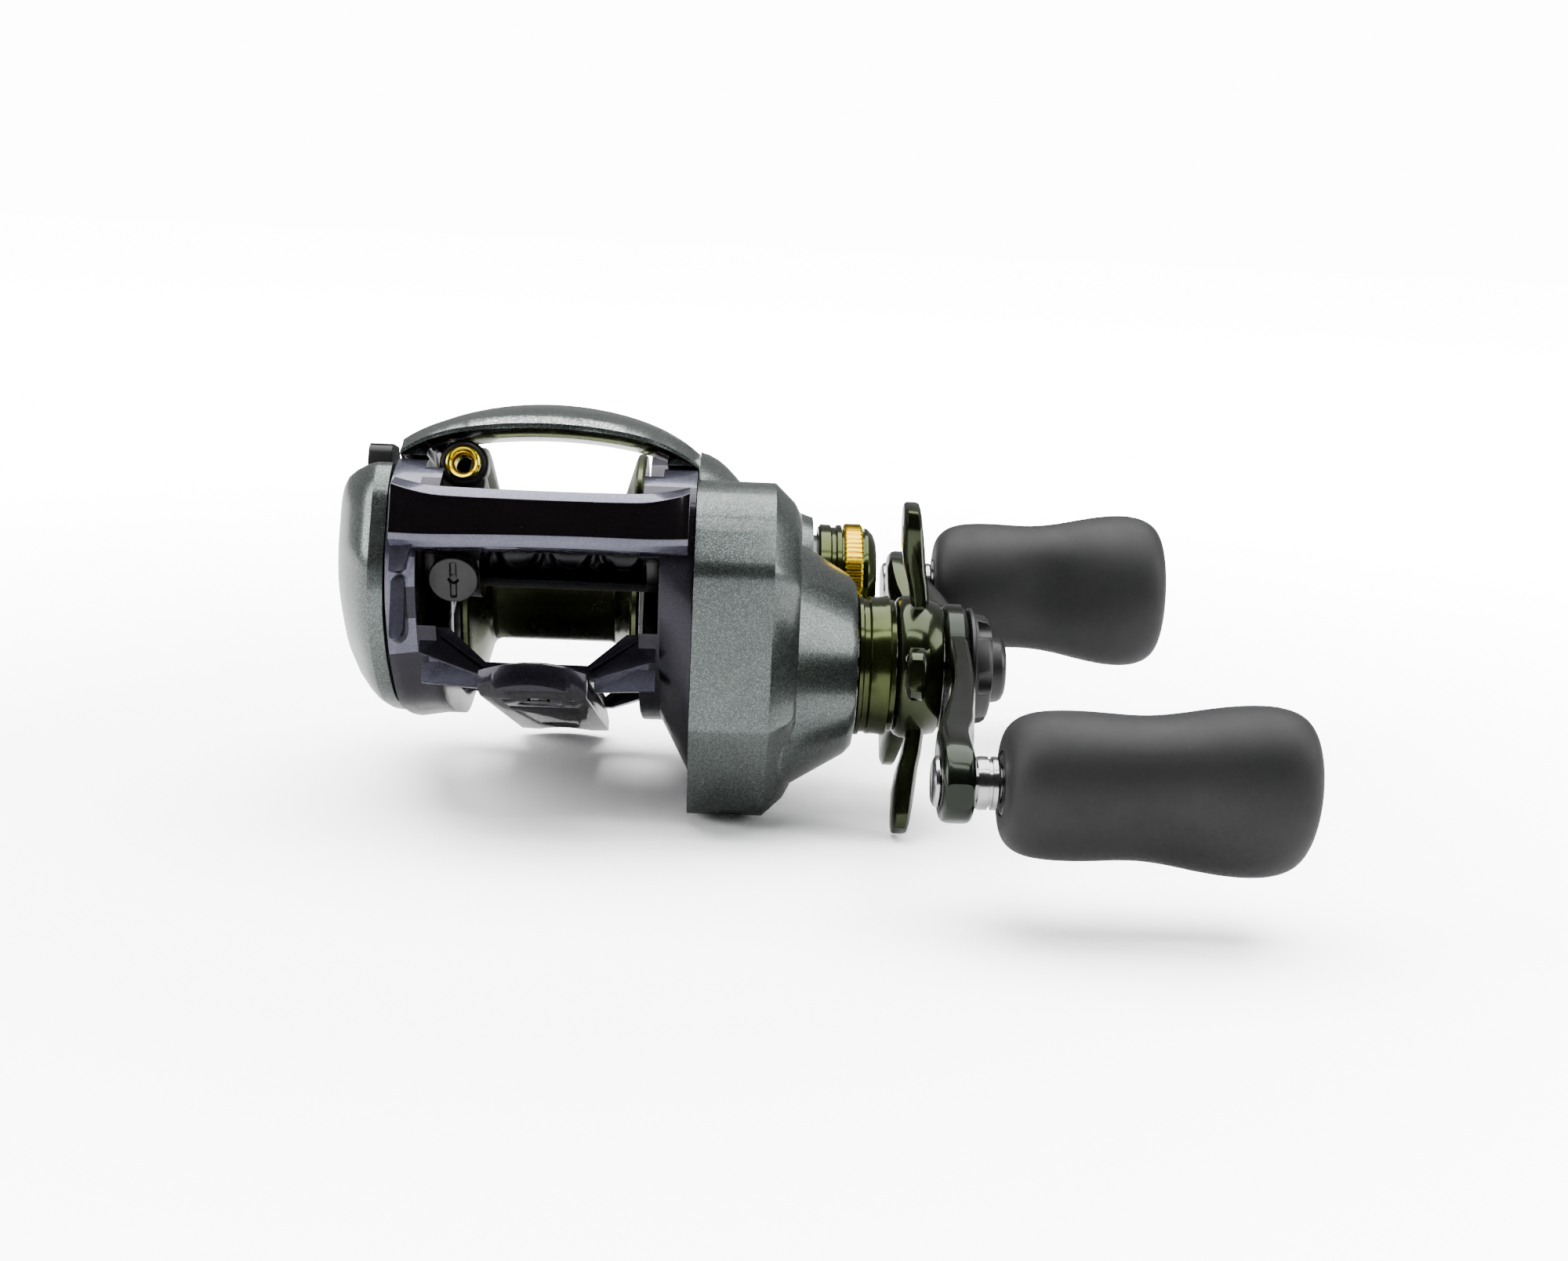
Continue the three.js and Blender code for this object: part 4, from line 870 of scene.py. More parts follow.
def make_frame():
    seam_palm, seam_gear = span("frame")
    palm = dressed(ring_side(-WALL, seam_palm, 0.8, 0.6), VIOLET, VIOLET_PAINTED_HIGHLIGHT)
    gear = ring_side(WALL, seam_gear, 0.8, 7)
    pad = block(-6.2, 6.2, -29.6, 21.8, -17.4, -15.9)
    join(palm, gear, pad)
    for side in (-1, 1):
        join(palm, strut(side, -29.4, -23.5), strut(side, 15.6, 19), web(side, -26, -24.2))
    bore = rod(seam_palm - 1, -WALL + 1, 16.9, SPOOL, 96)
    hub_way = rod(WALL - 1, WALL + 4, 8.2, SPOOL, 64)
    nose = block(-NOSE_WALL, NOSE_WALL, -30.9, -18.6, -11.9, 20)
    under = block(-NOSE_WALL, NOSE_WALL, -40, -30.8, -11.9, -3.1)
    gear_room = slab("gear_room", [(y * 0.92 - 0.2, z * 0.92 - 0.2) for y, z in softened(RING_CORNERS, 2, 2)],
                     WALL + 2.2, seam_gear + 1)
    cut(palm, bore, hub_way, nose, under, gear_room)
    cut(palm, rod(WALL - 1, WALL + 4, 2.4, WORM, 32), rod(-NOSE_WALL - 2, -NOSE_WALL + 1, 2.4, WORM, 32))
    slots = [block(15.5, 16.6, -36, -24, -25.6, -20.8), block(-17.4, -16.2, -33.5, -29, -17.5, -15.2)]
    cut(palm, *slots)
    upper = [(-17.5, -2.4), (-14.6, -2.4), (-15.2, -3.6), (-15.6, -5.6), (-16.2, -6.1), (-17.5, -6.1)]
    pad = softened([(-17.3, -6.7), (-15.7, -6.7), (-15.5, -13.2), (-16.2, -14.2), (-17.2, -14.2)], 0.8, 4)
    join(palm, front_slab("leg", upper, -36.6, -33), front_slab("leg_pad", pad, -35.6, -31))
    # Rounded edges, faces looking up and the front faces of the leg and web take the lighter violet copy, a painted
    # highlight.
    eased(palm, 0.34, 2, 26, 1)
    for face in palm.data.polygons:
        upright = face.normal.z > 0.75 and face.center.y < -12
        leg = face.center.x < -15.2 and face.center.y < -28
        web_face = 6.5 < abs(face.center.x) < 14.6 and -26.6 < face.center.y < -25.4
        if upright or (face.normal.y < -0.5 and (leg or web_face)):
            face.material_index = 1
    return finished(palm, "reel_body", VIOLET, "frame_violet", "frame", smooth=30)


def make_crossbar():
    """The front crossbar: a glossy face between two bevels, curled forward where it meets the sides."""
    low, high = span("frame")
    section = [(-36.0, -3.0), (-36.9, -2.3), (-37.2, -1.5), (-37.2, 3.3), (-36, 4.6), (-32, 4.6), (-31, 3.5)]
    section += [(-31, -2.3), (-32, -3)]
    bar = dressed(drawn_face([(low + 0.7, y, z) for y, z in section]), VIOLET_GLOSS, VIOLET_PAINTED_HIGHLIGHT)
    steps = 40
    for _ in range(steps):
        step = (high - low - 1.4) / steps
        bpy.ops.mesh.extrude_region_move(TRANSFORM_OT_translate={"value": (step, 0, 0)})
    tidy(bar)

    def bowed(co):
        t = co.x / 17
        curl = max(0.0, abs(co.x) - 11.2) / 6
        if co.y < -36.5:
            co.y += 0.35 - 0.35 * t * t - 1.5 * curl ** 2
        if co.z < 0:
            co.z += 0.35 * (1 - t * t) + 0.25 * t
        else:
            co.z += 0.7 * curl ** 2 - 0.25 * (1 - t * t)
        return co

    moved(bar, bowed)
    eased(bar, 0.12, 3, 16)
    # The top and bottom faces take the lighter violet copy, a painted highlight.
    for way in ((0, 0, 1), (0, 0, -1)):
        facing(bar, way, 0.3, 1)
    bar = finished(bar, "reel_body", VIOLET, "frame_violet", smooth=25)
    bar.name = bar.data.name = "front_crossbar"
    return bar


# ---- foot --------------------------------------------------------------------------------------


def foot_round(front, rear, radius=19.5):
    """A long bar whose round top gives the foot its crown, or the hollow under it."""
    return pin((0, front[0], front[1] - radius), (0, rear[0], rear[1] - radius), radius, 160)


def make_foot():
    half, front, rear, top, bottom = 6.4, -38.0, 27.4, -17.7, -20.2
    plan = [(-half + 2 * half * i / 16, front + 2.6 * (i / 8 - 1) ** 2) for i in range(17)]
    plan += [(half - 2 * half * i / 16, rear - 2.0 * (i / 8 - 1) ** 2) for i in range(17)]
    outline = drawn_face([(x, y, bottom - 1) for x, y in plan])
    bpy.ops.mesh.extrude_region_move(TRANSFORM_OT_translate={"value": (0, 0, 8)})
    tidy(outline)
    tab_side = [(front - 1, -18.8), (-36, bottom), (-29.9, bottom), (-29.9, -15.7), (-33.5, -15.9), (front - 1, -17.1)]
    foot = combine(dressed(slab("foot", tab_side, -half, half), VIOLET, VIOLET_PAINTED_HIGHLIGHT), [foot_round((-39.5, -17.1), (-29, -15.75))], "INTERSECT")
    middle = [(-31, bottom), (rear, bottom), (rear, -19.1), (19, top), (-31, top)]
    join(foot, slab("middle", middle, -half, half))
    combine(foot, [outline], "INTERSECT")
    cut(foot, foot_round((-40, -18), (-27, -20.4)), foot_round((20, -20.4), (29, -19.7)))
    ridges = [(front + 1.4 + i * 0.62, -16.55 + i * 0.082) for i in range(10)]
    ridges += [(rear - 2.4 - i * 0.75, -18.5 + i * 0.14) for i in range(7)]
    for y, z in ridges:
        cut(foot, pin((-6.6, y, z - 0.62), (0, y, z + 0.28), 0.2, 8), pin((6.6, y, z - 0.62), (0, y, z + 0.28), 0.2, 8))
    cut(foot, *[block(-4.4, 4.4, y, y + 3.2, bottom - 0.5, bottom + 0.5) for y in (-27.5, -17)])
    cut(foot, *[pin((0, y, bottom - 1), (0, y, bottom + 1.3), 2.7, 40) for y in (-22, 13)])
    # Rounded edges take the lighter violet copy, a painted highlight.
    eased(foot, 0.2, 2, 30, 1)
    return finished(foot, "reel_body", VIOLET, "black_plastic", "reel_foot", smooth=30)


# ---- crank, star and knobs ---------------------------------------------------------------------


def bar_along(name, centre, way, stations, sides=20, ease=0.42):
    """A bar with softened corners, from a centre outwards: at each reach, a half width and two X planes."""
    across = (-way[1], way[0])

    def eased_way(value):
        return math.copysign(abs(value) ** ease, value)

    def ring_at(reach, half, x0, x1):
        points = []
        for i in range(sides):
            angle = 2 * math.pi * (i + 0.5) / sides
            x = (x0 + x1) / 2 + (x1 - x0) / 2 * eased_way(math.cos(angle))
            side = half * eased_way(math.sin(angle))
            points.append((
                x, centre[0] + way[0] * reach + across[0] * side, centre[1] + way[1] * reach + across[1] * side
            ))
        return points

    first = ring_at(*stations[0])
    bar = drawn_face(first)
    for station in stations[1:]:
        target = ring_at(*station)
        step = Vector(target[0]) - Vector(first[0])
        bpy.ops.mesh.extrude_region_move(TRANSFORM_OT_translate={"value": step})
        mesh = bmesh.from_edit_mesh(bar.data)
        loop = [v for v in mesh.verts if v.select]
        for vertex in loop:
            before = [Vector(p) + step for p in first]
            index = min(range(sides), key=lambda i: (vertex.co - before[i]).length)
            vertex.co = Vector(target[index])
        bmesh.update_edit_mesh(bar.data)
        first = target
    tidy(bar, name)
    return bar


def make_star():
    hub = turned(
        "star_piece",
        [(45, 3.4), (45, 8.4), (45.3, 8.9), (46.0, 9.3), (48.4, 9.3), (48.9, 9.0), (50.4, 8.6), (50.7, 8.2), (50.7, 3.4),
         (45, 3.4)],
        DRIVE, 72,
    )
    form = [(6, 2.7, 46.5, 48.9), (9.6, 2.6, 46.5, 48.9), (12, 2.75, 46.0, 48.6), (14, 3.0, 45.4, 48.2),
            (16.4, 3.3, 45.0, 47.9), (19.2, 3.3, 44.9, 47.5), (21, 2.8, 44.9, 47.2), (21.8, 2.0, 45.0, 47.0)]
    for i in range(5):
        way = table_way(8 + 72 * i)
        join(hub, bar_along("arm", DRIVE, way, form, 8, 0.55))
    eased(hub, 0.15, 2, 40)
    return finished(hub, "star", STAR_GREEN, "crank_green", "star_wheel", smooth=40)


def make_crank():
    hub = turned("crank_piece", [(51, 0), (51, 7.8), (51.5, 8.4), (53.4, 8.4), (54, 7.8), (54, 0)], DRIVE, 72)
    form = [(-1, 6.4, 51, 54), (4, 6.4, 51, 54), (8, 5.9, 51, 54), (12, 5.2, 51, 53.9), (16, 4.85, 50.8, 53.7),
            (20, 4.65, 50.3, 53.4), (24, 4.55, 49.5, 52.9), (28, 4.5, 48.6, 52.4), (32, 4.55, 47.8, 51.95),
            (35, 4.55, 47.15, 51.2), (38, 4.75, 46.95, 51.0), (40.5, 4.8, 46.9, 50.9), (42.5, 4.7, 46.9, 50.9),
            (44.4, 4.0, 46.95, 50.85), (45.8, 2.8, 47.1, 50.7), (46.6, 1.5, 47.4, 50.4)]
    for end in (KNOB_FRONT, KNOB_REAR):
        reach = math.dist(end, DRIVE)
        way = ((end[0] - DRIVE[0]) / reach, (end[1] - DRIVE[1]) / reach)
        join(hub, bar_along("half", DRIVE, way, form))
    cut(hub, rod(50, 55, 3.3, DRIVE, 40), rod(46, 53, 2.2, KNOB_FRONT, 40), rod(46, 53, 2.2, KNOB_REAR, 40))
    eased(hub, 1.0, 4, 30)
    return finished(hub, "crank", CRANK_GREEN, "crank_green", "handle_arm", smooth=50)


KNOB_FORM = [
    (0.0, 4.3, 4.0), (0.004, 6.3, 5.6), (0.03, 7.8, 6.8), (0.08, 8.9, 7.6), (0.16, 9.35, 7.9), (0.28, 9.4, 7.95),
    (0.40, 9.15, 7.75), (0.52, 9.6, 7.85), (0.64, 10.6, 8.3), (0.75, 11.3, 8.65), (0.85, 11.45, 8.75),
    (0.93, 10.7, 8.3), (0.975, 9.2, 7.2), (0.995, 6.6, 5.2), (1.0, 3.2, 2.6),
]


def make_knob(name, axis, turn, body, node):
    """A waisted oval knob with a shallow dimple for the thumb on each flat."""
    x0, x1 = span(node)
    knob = start("circle", vertices=32, radius=1, fill_type="NGON", rotation=(0, math.pi / 2, 0), location=(0, 0, 0))
    place_mesh(knob)
    editing(knob)
    bpy.ops.mesh.select_all(action="SELECT")
    share, wide, deep = KNOB_FORM[0]
    bpy.ops.transform.resize(value=(1, wide, deep), center_override=(0, 0, 0))
    here = share
    for share, next_wide, next_deep in KNOB_FORM[1:]:
        step = (share - here) * (x1 - x0)
        bpy.ops.mesh.extrude_region_move(TRANSFORM_OT_translate={"value": (step, 0, 0)})
        bpy.ops.transform.resize(value=(1, next_wide / wide, next_deep / deep), center_override=(0, 0, 0))
        here, wide, deep = share, next_wide, next_deep
    tidy(knob)
    only(knob)
    rounded(knob, 2)

    def dimpled(co):
        t = co.x / (x1 - x0)
        depth = 1.25 * math.exp(-((t - 0.50) / 0.17) ** 2) * math.exp(-(co.y / 5.2) ** 2)
        co.z -= math.copysign(depth, co.z) if abs(co.z) > 2 else 0
        return co

    moved(knob, dimpled)
    knob.matrix_world = Matrix.Translation((x0, *axis)) @ Matrix.Rotation(math.radians(turn), 4, "X")
    place_mesh(knob)
    cut(knob, rod(x0 - 1, x0 + 1.7, 3.7, axis, 40), rod(x0, x1 - 2.2, 2.3, axis, 32))
    tidy(knob, name)
    return finished(knob, body, RUBBER, "rubber", node, smooth=50)


def make_spindle(name, axis, node):
    x0, _ = span(node)
    profile = [(x0, 0), (x0, 2.3), (x0 + 0.25, 2.75), (x0 + 0.6, 2.9), (x0 + 0.6, 1.9), (51.1, 1.9), (51.1, 2.9)]
    profile += [(51.5, 3.0), (52.3, 3.0), (52.4, 2.7), (52.7, 2.7), (52.8, 3.0), (53.3, 3.0), (53.6, 2.8), (53.6, 1.9), (86, 1.9), (86, 0)]
    spindle = turned(name, profile, axis, 48)
    return finished(spindle, "crank", STEEL, "steel", node, smooth=30)


def make_collar(name, axis, body, node):
    """A ribbed black collar in the knob's mouth."""
    x0, x1 = span(node)
    collar = turned(name, [(x0, 2.2), (x0, 3.3), (x0 + 0.2, 3.55), (x1, 3.55), (x1, 2.2), (x0, 2.2)], axis, 48)
    for i in range(20):
        angle = math.radians(18 * i)
        notch = (axis[0] + 3.6 * math.cos(angle), axis[1] + 3.6 * math.sin(angle))
        cut(collar, rod(x0 - 1, x1 + 1, 0.2, notch, 8))
    return finished(collar, body, BLACK, "black_plastic", node, smooth=30)


def make_nut_cover():
    """The black cap over the handle nut: three steps, with notches round its rim."""
    profile = [(54.3, 4.7), (54.3, 7.6), (54.5, 7.9), (54.9, 7.9), (55.1, 7.3), (56.6, 7.0), (57.1, 6.6), (57.3, 5.9)]
    profile += [(57.35, 4.4), (58.6, 4.2), (59.1, 3.9), (59.4, 3.3), (59.4, 1.9), (58.4, 1.8), (58.4, 0), (56.6, 0)]
    profile += [(56.6, 4.7), (54.3, 4.7)]
    cap = turned("nut_cover_piece", profile, DRIVE, 72)
    for i in range(6):
        angle = math.radians(60 * i + 20)
        place = (DRIVE[0] + 8.0 * math.cos(angle), DRIVE[1] + 8.0 * math.sin(angle))
        cut(cap, rod(55.4, 58, 1.9, place, 24))
    cut(cap, block(58.2, 60, DRIVE[0] - 0.35, DRIVE[0] + 0.35, DRIVE[1] - 1.7, DRIVE[1] + 1.7))
    eased(cap, 0.1, 2, 35)
    return finished(cap, "crank", BLACK, "black_plastic", "nut_cover", smooth=35)


def make_hub():
    profile = [(39.9, 3.4), (39.9, 8.9), (40.1, 9.15), (40.5, 9.15), (40.7, 8.75), (41.3, 8.75), (41.6, 9.0)]
    profile += [(42.3, 8.92), (43.2, 9.0), (43.6, 9.15), (43.9, 9.15), (44.15, 8.7), (44.7, 8.6), (44.7, 3.4), (39.9, 3.4)]
    hub = turned("drag_hub_piece", profile, DRIVE, 96)
    return finished(hub, "crank", OLIVE, "olive_anodised", "drag_hub", smooth=30)


# ---- tension cap -------------------------------------------------------------------------------


def make_tension_cap():
    profile = [(35.2, 6.6), (35.2, 7.3), (35.5, 7.7), (36.8, 7.7), (37.05, 7.35), (37.5, 7.35), (37.75, 7.7)]
    profile += [(38.3, 7.7), (38.4, 7.5), (38.4, 6.9), (41.5, 6.9), (41.5, 7.35), (41.9, 7.35), (42.7, 6.6)]
    profile += [(43.1, 5.6), (42.9, 4.9), (42.9, 0), (40.6, 0), (40.6, 5.4), (38.8, 5.4), (38.8, 6.5), (35.2, 6.6)]
    cap = turned("tension_cap_piece", profile, SPOOL, 96)
    return finished(cap, "tension_cap", OLIVE, "olive_anodised", "tension_cap", smooth=30)


def make_cap_ring():
    """The gold ring: a knurl of straight teeth."""
    x0, x1 = span("tension_cap_ring")
    teeth = 60
    outline = []
    for i in range(teeth):
        for share, radius in ((-0.28, 7.62), (-0.16, 7.92), (0.16, 7.92), (0.28, 7.62)):
            angle = 2 * math.pi * (i + share) / teeth
            outline.append((radius * math.cos(angle), radius * math.sin(angle)))
    ring = slab("cap_ring_piece", outline, x0, x1, [x0 + 0.25, x1 - 0.25])

    def eased_rim(co):
        if min(abs(co.x - x0), abs(co.x - x1)) < 0.05:
            co.y *= 0.965
            co.z *= 0.965
        return co

    moved(ring, eased_rim)
    cut(ring, rod(x0 - 1, x1 + 1, 7.15, SPOOL, 96))
    return finished(ring, "tension_cap", GOLD, "gold", "tension_cap_ring", smooth=30)


# ---- spool and level wind ----------------------------------------------------------------------


def make_spool():
    w, flange, barrel = 11.6, 16.3, 9.6
    half = [(-w + 4.2, barrel), (-w + 3.5, barrel + 0.25), (-w + 2.9, barrel + 1.0), (-w + 1.5, flange - 0.9)]
    half += [(-w + 1.2, flange - 0.15), (-w + 0.95, flange), (-w + 0.4, flange), (-w, flange - 0.3), (-w, flange - 1.2)]
    half += [(-w + 2.1, barrel - 0.6), (-w + 4, barrel - 1.4), (-w + 4, 2.0)]
    profile = list(reversed(half)) + [(-x, r) for x, r in half] + [half[-1]]
    spool = turned("spool_piece", profile, SPOOL, 128)
    return finished(spool, "spool", SPOOL_OLIVE, "olive_anodised", "spool", smooth=30)


def make_worm():
    """The worm: a shaft with two crossed helical grooves."""
    x0, x1 = span("worm_shaft")
    count = 220
    profile = [(x0, 0), (x0, 1.4), (-13.9, 1.4), (-13.4, 2.35)]
    profile += [(-13.2 + 26.4 * i / count, 2.35) for i in range(count + 1)]
    profile += [(13.4, 2.35), (13.9, 1.4), (x1, 1.4), (x1, 0)]
    worm = turned("worm_piece", profile, WORM, 40)
    lead = 6.6

    def grooved(co):
        y, z = co.y - WORM[0], co.z - WORM[1]
        radius = math.hypot(y, z)
        if radius < 2 or abs(co.x) > 12.6:
            return co
        angle = math.atan2(z, y) / (2 * math.pi)
        depth = 0.0
        for hand in (1, -1):
            phase = (co.x / lead + hand * angle) % 1
            depth = max(depth, math.exp(-(((phase - 0.5) * lead) / 0.75) ** 2))
        shrink = 1 - 0.75 * depth / radius
        co.y, co.z = WORM[0] + y * shrink, WORM[1] + z * shrink
        return co

    moved(worm, grooved)
    return finished(worm, "worm", BLACK_STEEL, "steel", "worm_shaft", smooth=50)


def make_worm_guard():
    """A black tube round the worm, with a row of windows and an open slot for the pawl."""
    x0, x1 = span("worm_guard")
    tube = turned("worm_guard_piece", [(x0, 3.5), (x0, 4.5), (x1, 4.5), (x1, 3.5), (x0, 3.5)], WORM, 56)
    way = block(-12.9, 12.9, WORM[0] - 5, WORM[0] + 0.4, WORM[1] - 6, WORM[1] - 0.6)
    cut(tube, way)
    for i in range(8):
        x, z = -10.8 + i * 2.9, WORM[1]
        outline = [(x, z + 0.4), (x + 2, z + 0.4), (x + 1.6, z + 2.8), (x + 0.4, z + 2.8)]
        cut(tube, front_slab("window", outline, WORM[0] - 6, WORM[0]))
    eased(tube, 0.1, 2, 35)
    return finished(tube, "reel_body", BLACK, "black_plastic", "worm_guard", smooth=30)


RING_PLACE = (-27.2, 8.8)
PAWL_WAY = Vector((-0.82, -0.572)).normalized()


def pawl_point(distance):
    return (GUIDE_X, WORM[0] + PAWL_WAY.x * distance, WORM[1] + PAWL_WAY.y * distance)


def make_carriage():
    """The line guide's carriage: the eye that holds the gold ring, its stem, its collar and the pawl's nose."""
    y, z = RING_PLACE
    profile = [(-1.7, 2.2), (-1.6, 2.6), (-1.2, 2.95), (-0.6, 3.05), (1.4, 3.05), (1.8, 2.8), (1.8, 2.2), (-1.7, 2.2)]
    eye = drawn_line([(GUIDE_X + r, y + dy, z) for dy, r in profile])
    bpy.ops.mesh.select_all(action="SELECT")
    bpy.ops.mesh.spin(steps=64, angle=2 * math.pi, center=(GUIDE_X, y, z), axis=(0, 1, 0))
    tidy(eye, "line_guide_piece")
    stem = slab("stem", softened(
        [(-28.3, 7.4, 0.6), (-25.6, 7.6, 0.5), (-20.4, 6.4, 1.2), (-20.4, 2.6, 1), (-24.2, 2.2), (-28.3, 2.4, 0.8)], 0.8, 3,
    ), GUIDE_X - 2.7, GUIDE_X + 2.7)
    collar = turned(
        "collar", [(GUIDE_X - 2.8, 4.8), (GUIDE_X - 2.8, 5.9), (GUIDE_X + 2.8, 5.9), (GUIDE_X + 2.8, 4.8),
                   (GUIDE_X - 2.8, 4.8)], WORM, 64,
    )
    nose = pin(pawl_point(5), pawl_point(7), 2.8, 48)
    join(eye, stem, collar, nose)
    through = pin((GUIDE_X, y - 3, z), (GUIDE_X, y + 3, z), 2.18, 48)
    rod_way = rod(GUIDE_X - 4, GUIDE_X + 4, 1.5, (-22.2, 4.6), 32)
    guard_way = rod(GUIDE_X - 4, GUIDE_X + 4, 4.8, WORM, 64)
    pawl_way = pin(pawl_point(0), pawl_point(7.6), 1.5, 32)
    clear = block(-14, 14, -40, -30.5, -3.6, 5.2)
    cut(eye, through, rod_way, guard_way, pawl_way, clear)
    eased(eye, 0.18, 2, 32)
    return finished(eye, "carriage", BLACK, "black_plastic", "line_guide", smooth=35)


def make_guide_ring():
    """The gold ring in the eye, with a flared and rounded mouth."""
    y, z = RING_PLACE
    profile = [(1.6, 1.2), (-0.6, 1.08), (-1.2, 1.15), (-1.7, 1.4), (-2.0, 1.7), (-2.05, 1.9), (-1.9, 2.08)]
    profile += [(-1.5, 2.12), (-1.4, 1.85), (1.6, 1.85), (1.6, 1.2)]
    ring = drawn_line([(GUIDE_X + r, y + dy, z) for dy, r in profile])
    bpy.ops.mesh.select_all(action="SELECT")
    bpy.ops.mesh.spin(steps=64, angle=2 * math.pi, center=(GUIDE_X, y, z), axis=(0, 1, 0))
    tidy(ring, "guide_ring_piece")
    return finished(ring, "carriage", GOLD, "gold", "line_guide_ring", smooth=40)


def make_pawl_cap():
    cap = pin(pawl_point(7.4), pawl_point(8.7), 2.98, 64)
    cap.name = "pawl_cap_piece"
    a, b = Vector(pawl_point(8.35)), Vector(pawl_point(9.2))
    across = Vector((0, -PAWL_WAY.y, PAWL_WAY.x))
    slot = start("cube", size=1, location=(a + b) / 2, rotation=((b - a).to_track_quat("Z", "Y").to_euler()),
                 scale=(0.7, 4.6, (b - a).length))
    place_mesh(slot)
    cut(cap, slot, pin(pawl_point(8.0), pawl_point(9.3), 0.7, 4))
    eased(cap, 0.2, 3, 35)
    return finished(cap, "carriage", BLACK, "black_plastic", "pawl_cap", smooth=35)


def make_thumb_bar():
    side = softened([(21.4, 3.4), (22.6, 6.2), (25.6, 7.1), (28.2, 5.8), (29, 3.4), (27, 2.1), (23, 1.8)], 1.6, 4)
    bar = slab("thumb_bar_piece", side, -11.8, 11.8)
    for x0, x1 in ((-12, -10.8), (10.8, 12)):
        join(bar, slab("tongue", [(18, 2), (24, 2.2), (24, 5.6), (18, 5)], x0, x1))
    for i in range(7):
        y = 23.8 + i * 0.62
        cut(bar, pin((-8.5, y, 7.25 - 0.1 * abs(i - 2.5) ** 1.3), (8.5, y, 7.25 - 0.1 * abs(i - 2.5) ** 1.3), 0.2, 8))
    eased(bar, 0.2, 2, 35)
    return finished(bar, "thumb_bar", BLACK, "black_plastic", "thumb_bar", smooth=35)


# ---- table, light and camera -------------------------------------------------------------------


ROOM_WHITE = 14.0
TABLE_WHITE = 3.3


def make_stage():
    """A pale table that fades into the white room before its edge can be seen."""
    low = CAD_BOX[0][2]
    floor = start("plane", size=6, location=(0, 0, low - 0.00005))
    floor.name = "table"
    material = bpy.data.materials.new("pale_table")
    material.use_nodes = True
    tree = Tree(material.node_tree)
    material.node_tree.nodes.remove(material.node_tree.nodes["Principled BSDF"])
    path = tree.node("ShaderNodeLightPath")
    matt = tree.node("ShaderNodeBsdfDiffuse")
    seen = path.outputs["Is Camera Ray"]
    tree.link(tree.mix(seen, (0.85, 0.85, 0.86), (TABLE_WHITE, TABLE_WHITE, 1.01 * TABLE_WHITE)), matt.inputs["Color"])
    length = tree.node("ShaderNodeVectorMath", operation="LENGTH")
    tree.link(tree.node("ShaderNodeTexCoord").outputs["Object"], length.inputs[0])
    glow = tree.node("ShaderNodeEmission")
    fade = tree.node("ShaderNodeMath", operation="MULTIPLY")
    tree.link(tree.remap(length.outputs["Value"], 0.08, 0.45, 0.0, ROOM_WHITE), fade.inputs[0])
    tree.link(seen, fade.inputs[1])
    tree.link(fade.outputs[0], glow.inputs["Strength"])
    both = tree.node("ShaderNodeAddShader")
    tree.link(matt.outputs[0], both.inputs[0])
    tree.link(glow.outputs[0], both.inputs[1])
    tree.link(both.outputs[0], material.node_tree.nodes["Material Output"].inputs["Surface"])
    floor.data.materials.append(material)


def soft_light(name, place, target, size, power, colour=(1, 1, 1)):
    light = bpy.data.lights.new(name, "AREA")
    light.shape = "RECTANGLE"
    light.size, light.size_y = size
    light.energy = power
    light.color = colour
    holder = bpy.data.objects.new(name, light)
    bpy.context.scene.collection.objects.link(holder)
    holder.location = place
    holder.rotation_euler = (Vector(target) - Vector(place)).to_track_quat("-Z", "Y").to_euler()


def make_light():
    """A white room: pure white where it is seen, and dim on the viewer's side where it is only reflected."""
    world = bpy.data.worlds.new("white_room")
    bpy.context.scene.world = world
    world.use_nodes = True
    tree = Tree(world.node_tree)
    background = world.node_tree.nodes["Background"]
    way = tree.node("ShaderNodeSeparateXYZ")
    tree.link(tree.node("ShaderNodeTexCoord").outputs["Generated"], way.inputs[0])
    path = tree.node("ShaderNodeLightPath")
    reflected = tree.remap(way.outputs["Y"], -0.5, 0.5, 0.03, 0.30)
    strength = tree.node("ShaderNodeMix")
    tree.link(path.outputs["Is Camera Ray"], strength.inputs[0])
    tree.link(reflected, strength.inputs[2])
    strength.inputs[3].default_value = ROOM_WHITE
    tree.link(strength.outputs[0], background.inputs["Strength"])
    background.inputs["Color"].default_value = (1.0, 1.0, 1.0, 1)
    soft_light("top_softbox", (0.02, 0.16, 0.80), (0.02, 0.02, 0), (1.3, 0.8), 19)
    soft_light("left_softbox", (-0.85, -0.10, 0.42), (0, 0, 0), (0.5, 0.6), 6.5)
    soft_light("right_softbox", (0.95, -0.05, 0.45), (0.03, 0, 0), (0.5, 0.6), 5)
    soft_light("high_front_softbox", (-0.05, -0.42, 0.95), (0, 0, 0), (1.0, 0.16), 3.6)


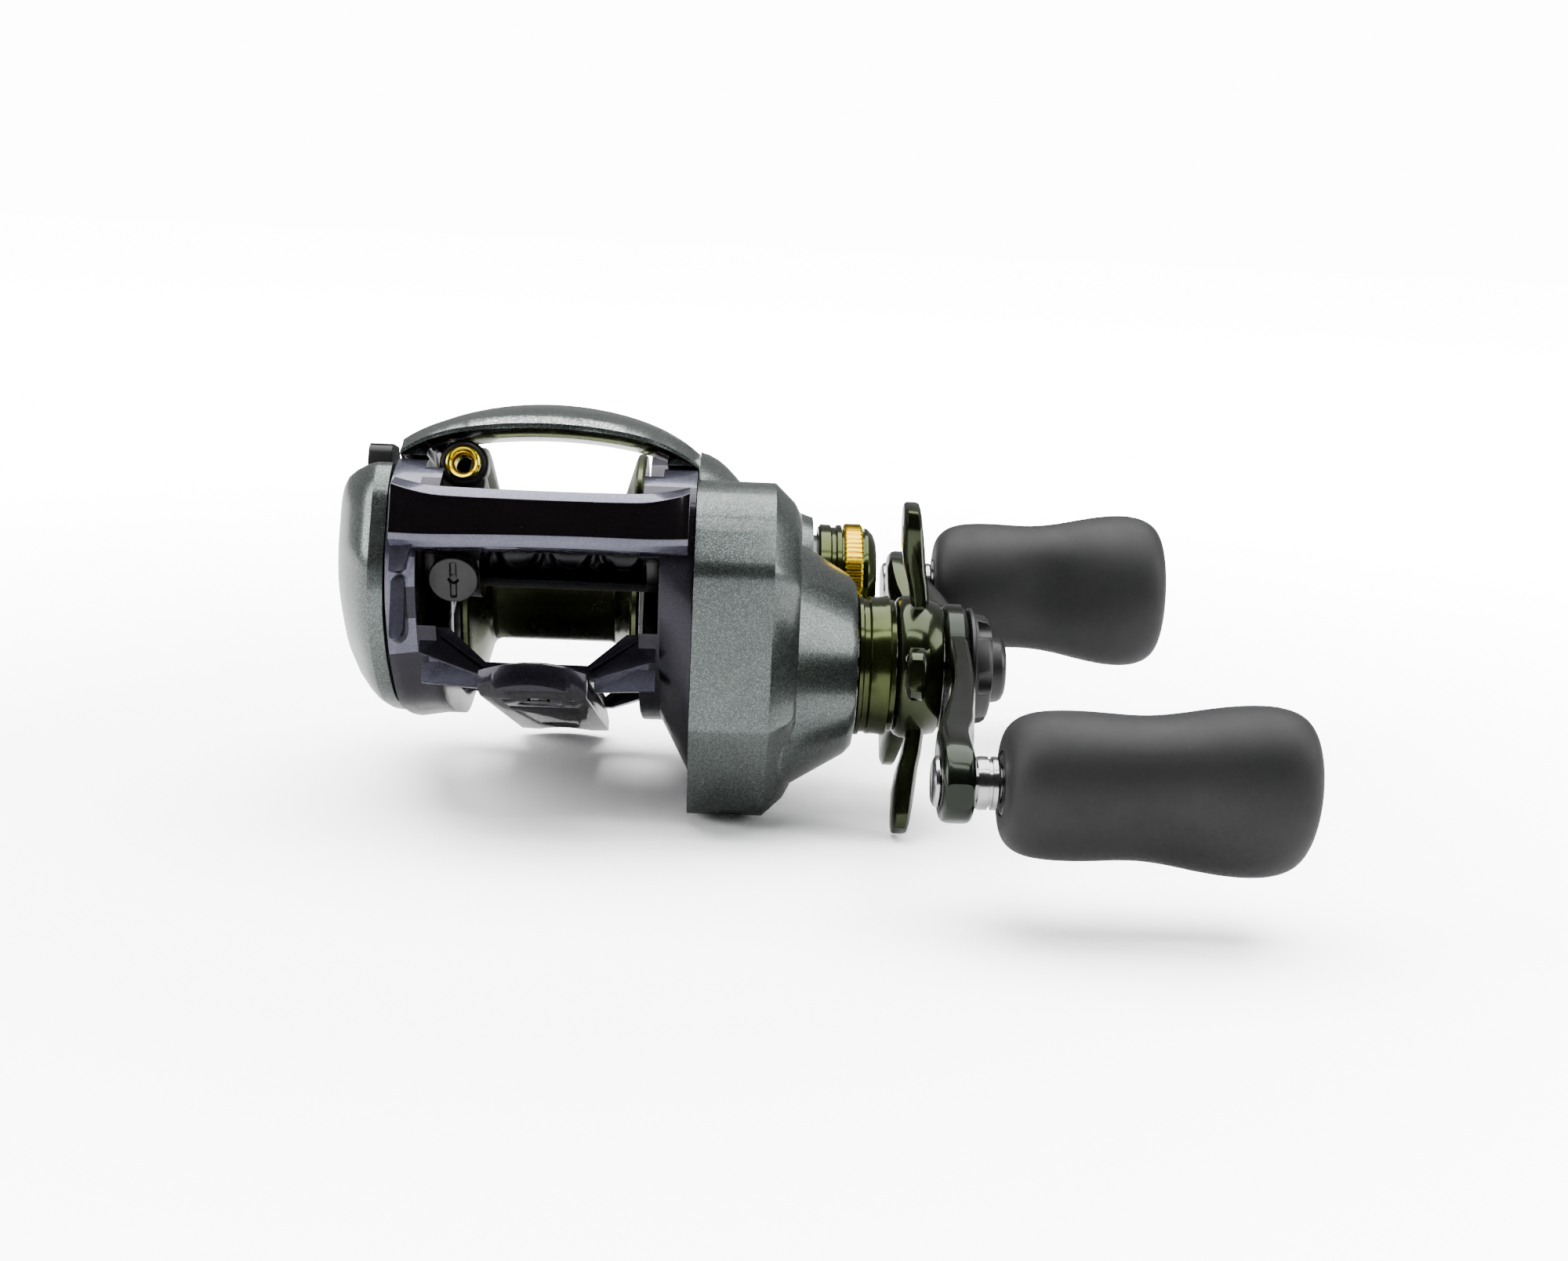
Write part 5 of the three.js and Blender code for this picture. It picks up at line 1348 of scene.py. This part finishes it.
CAMERA_FROM_SPOOL = Vector((21.5, -276.2, 51.45)) * MM
CAMERA_AZIMUTH = math.radians(-2)
CAMERA_ELEVATION = math.radians(12)
CAMERA_ROLL = math.radians(2.6)


def make_camera():
    """Looks along the azimuth and elevation, rolled so that the reel leans a little."""
    sight = Vector((
        -math.sin(CAMERA_AZIMUTH) * math.cos(CAMERA_ELEVATION),
        math.cos(CAMERA_AZIMUTH) * math.cos(CAMERA_ELEVATION),
        -math.sin(CAMERA_ELEVATION),
    ))
    side = Vector((math.cos(CAMERA_AZIMUTH), math.sin(CAMERA_AZIMUTH), 0))
    up = side.cross(sight)
    right = side * math.cos(CAMERA_ROLL) + up * math.sin(CAMERA_ROLL)
    top = up * math.cos(CAMERA_ROLL) - side * math.sin(CAMERA_ROLL)
    data = bpy.data.cameras.new("camera")
    data.lens = 46.8
    data.sensor_width = 36
    data.clip_start = 0.01
    camera = bpy.data.objects.new("camera", data)
    bpy.context.scene.collection.objects.link(camera)
    turn = Matrix((right, top, -sight)).transposed()
    camera.matrix_world = Matrix.Translation(SPOOL_PLACE + CAMERA_FROM_SPOOL) @ turn.to_4x4()
    bpy.context.scene.camera = camera


# ---- the reel ----------------------------------------------------------------------------------

make_camera()
make_light()
make_stage()
finish_cad_nodes()
make_gear_cover()
make_palm_cover()
make_palm_lever()
make_brake_dial()
make_hood()
make_frame()
make_crossbar()
make_foot()
make_star()
make_crank()
make_knob("front_knob_piece", KNOB_FRONT, 146.7, "front_knob", "knob_front")
make_knob("rear_knob_piece", KNOB_REAR, 96.7, "rear_knob", "knob_rear")
make_spindle("front_spindle_piece", KNOB_FRONT, "spindle_front")
make_spindle("rear_spindle_piece", KNOB_REAR, "spindle_rear")
make_collar("front_collar_piece", KNOB_FRONT, "front_knob", "knob_bearing_front")
make_collar("rear_collar_piece", KNOB_REAR, "rear_knob", "knob_bearing_rear")
make_nut_cover()
make_hub()
make_tension_cap()
make_cap_ring()
make_spool()
make_worm()
make_worm_guard()
make_carriage()
make_guide_ring()
make_pawl_cap()
make_thumb_bar()
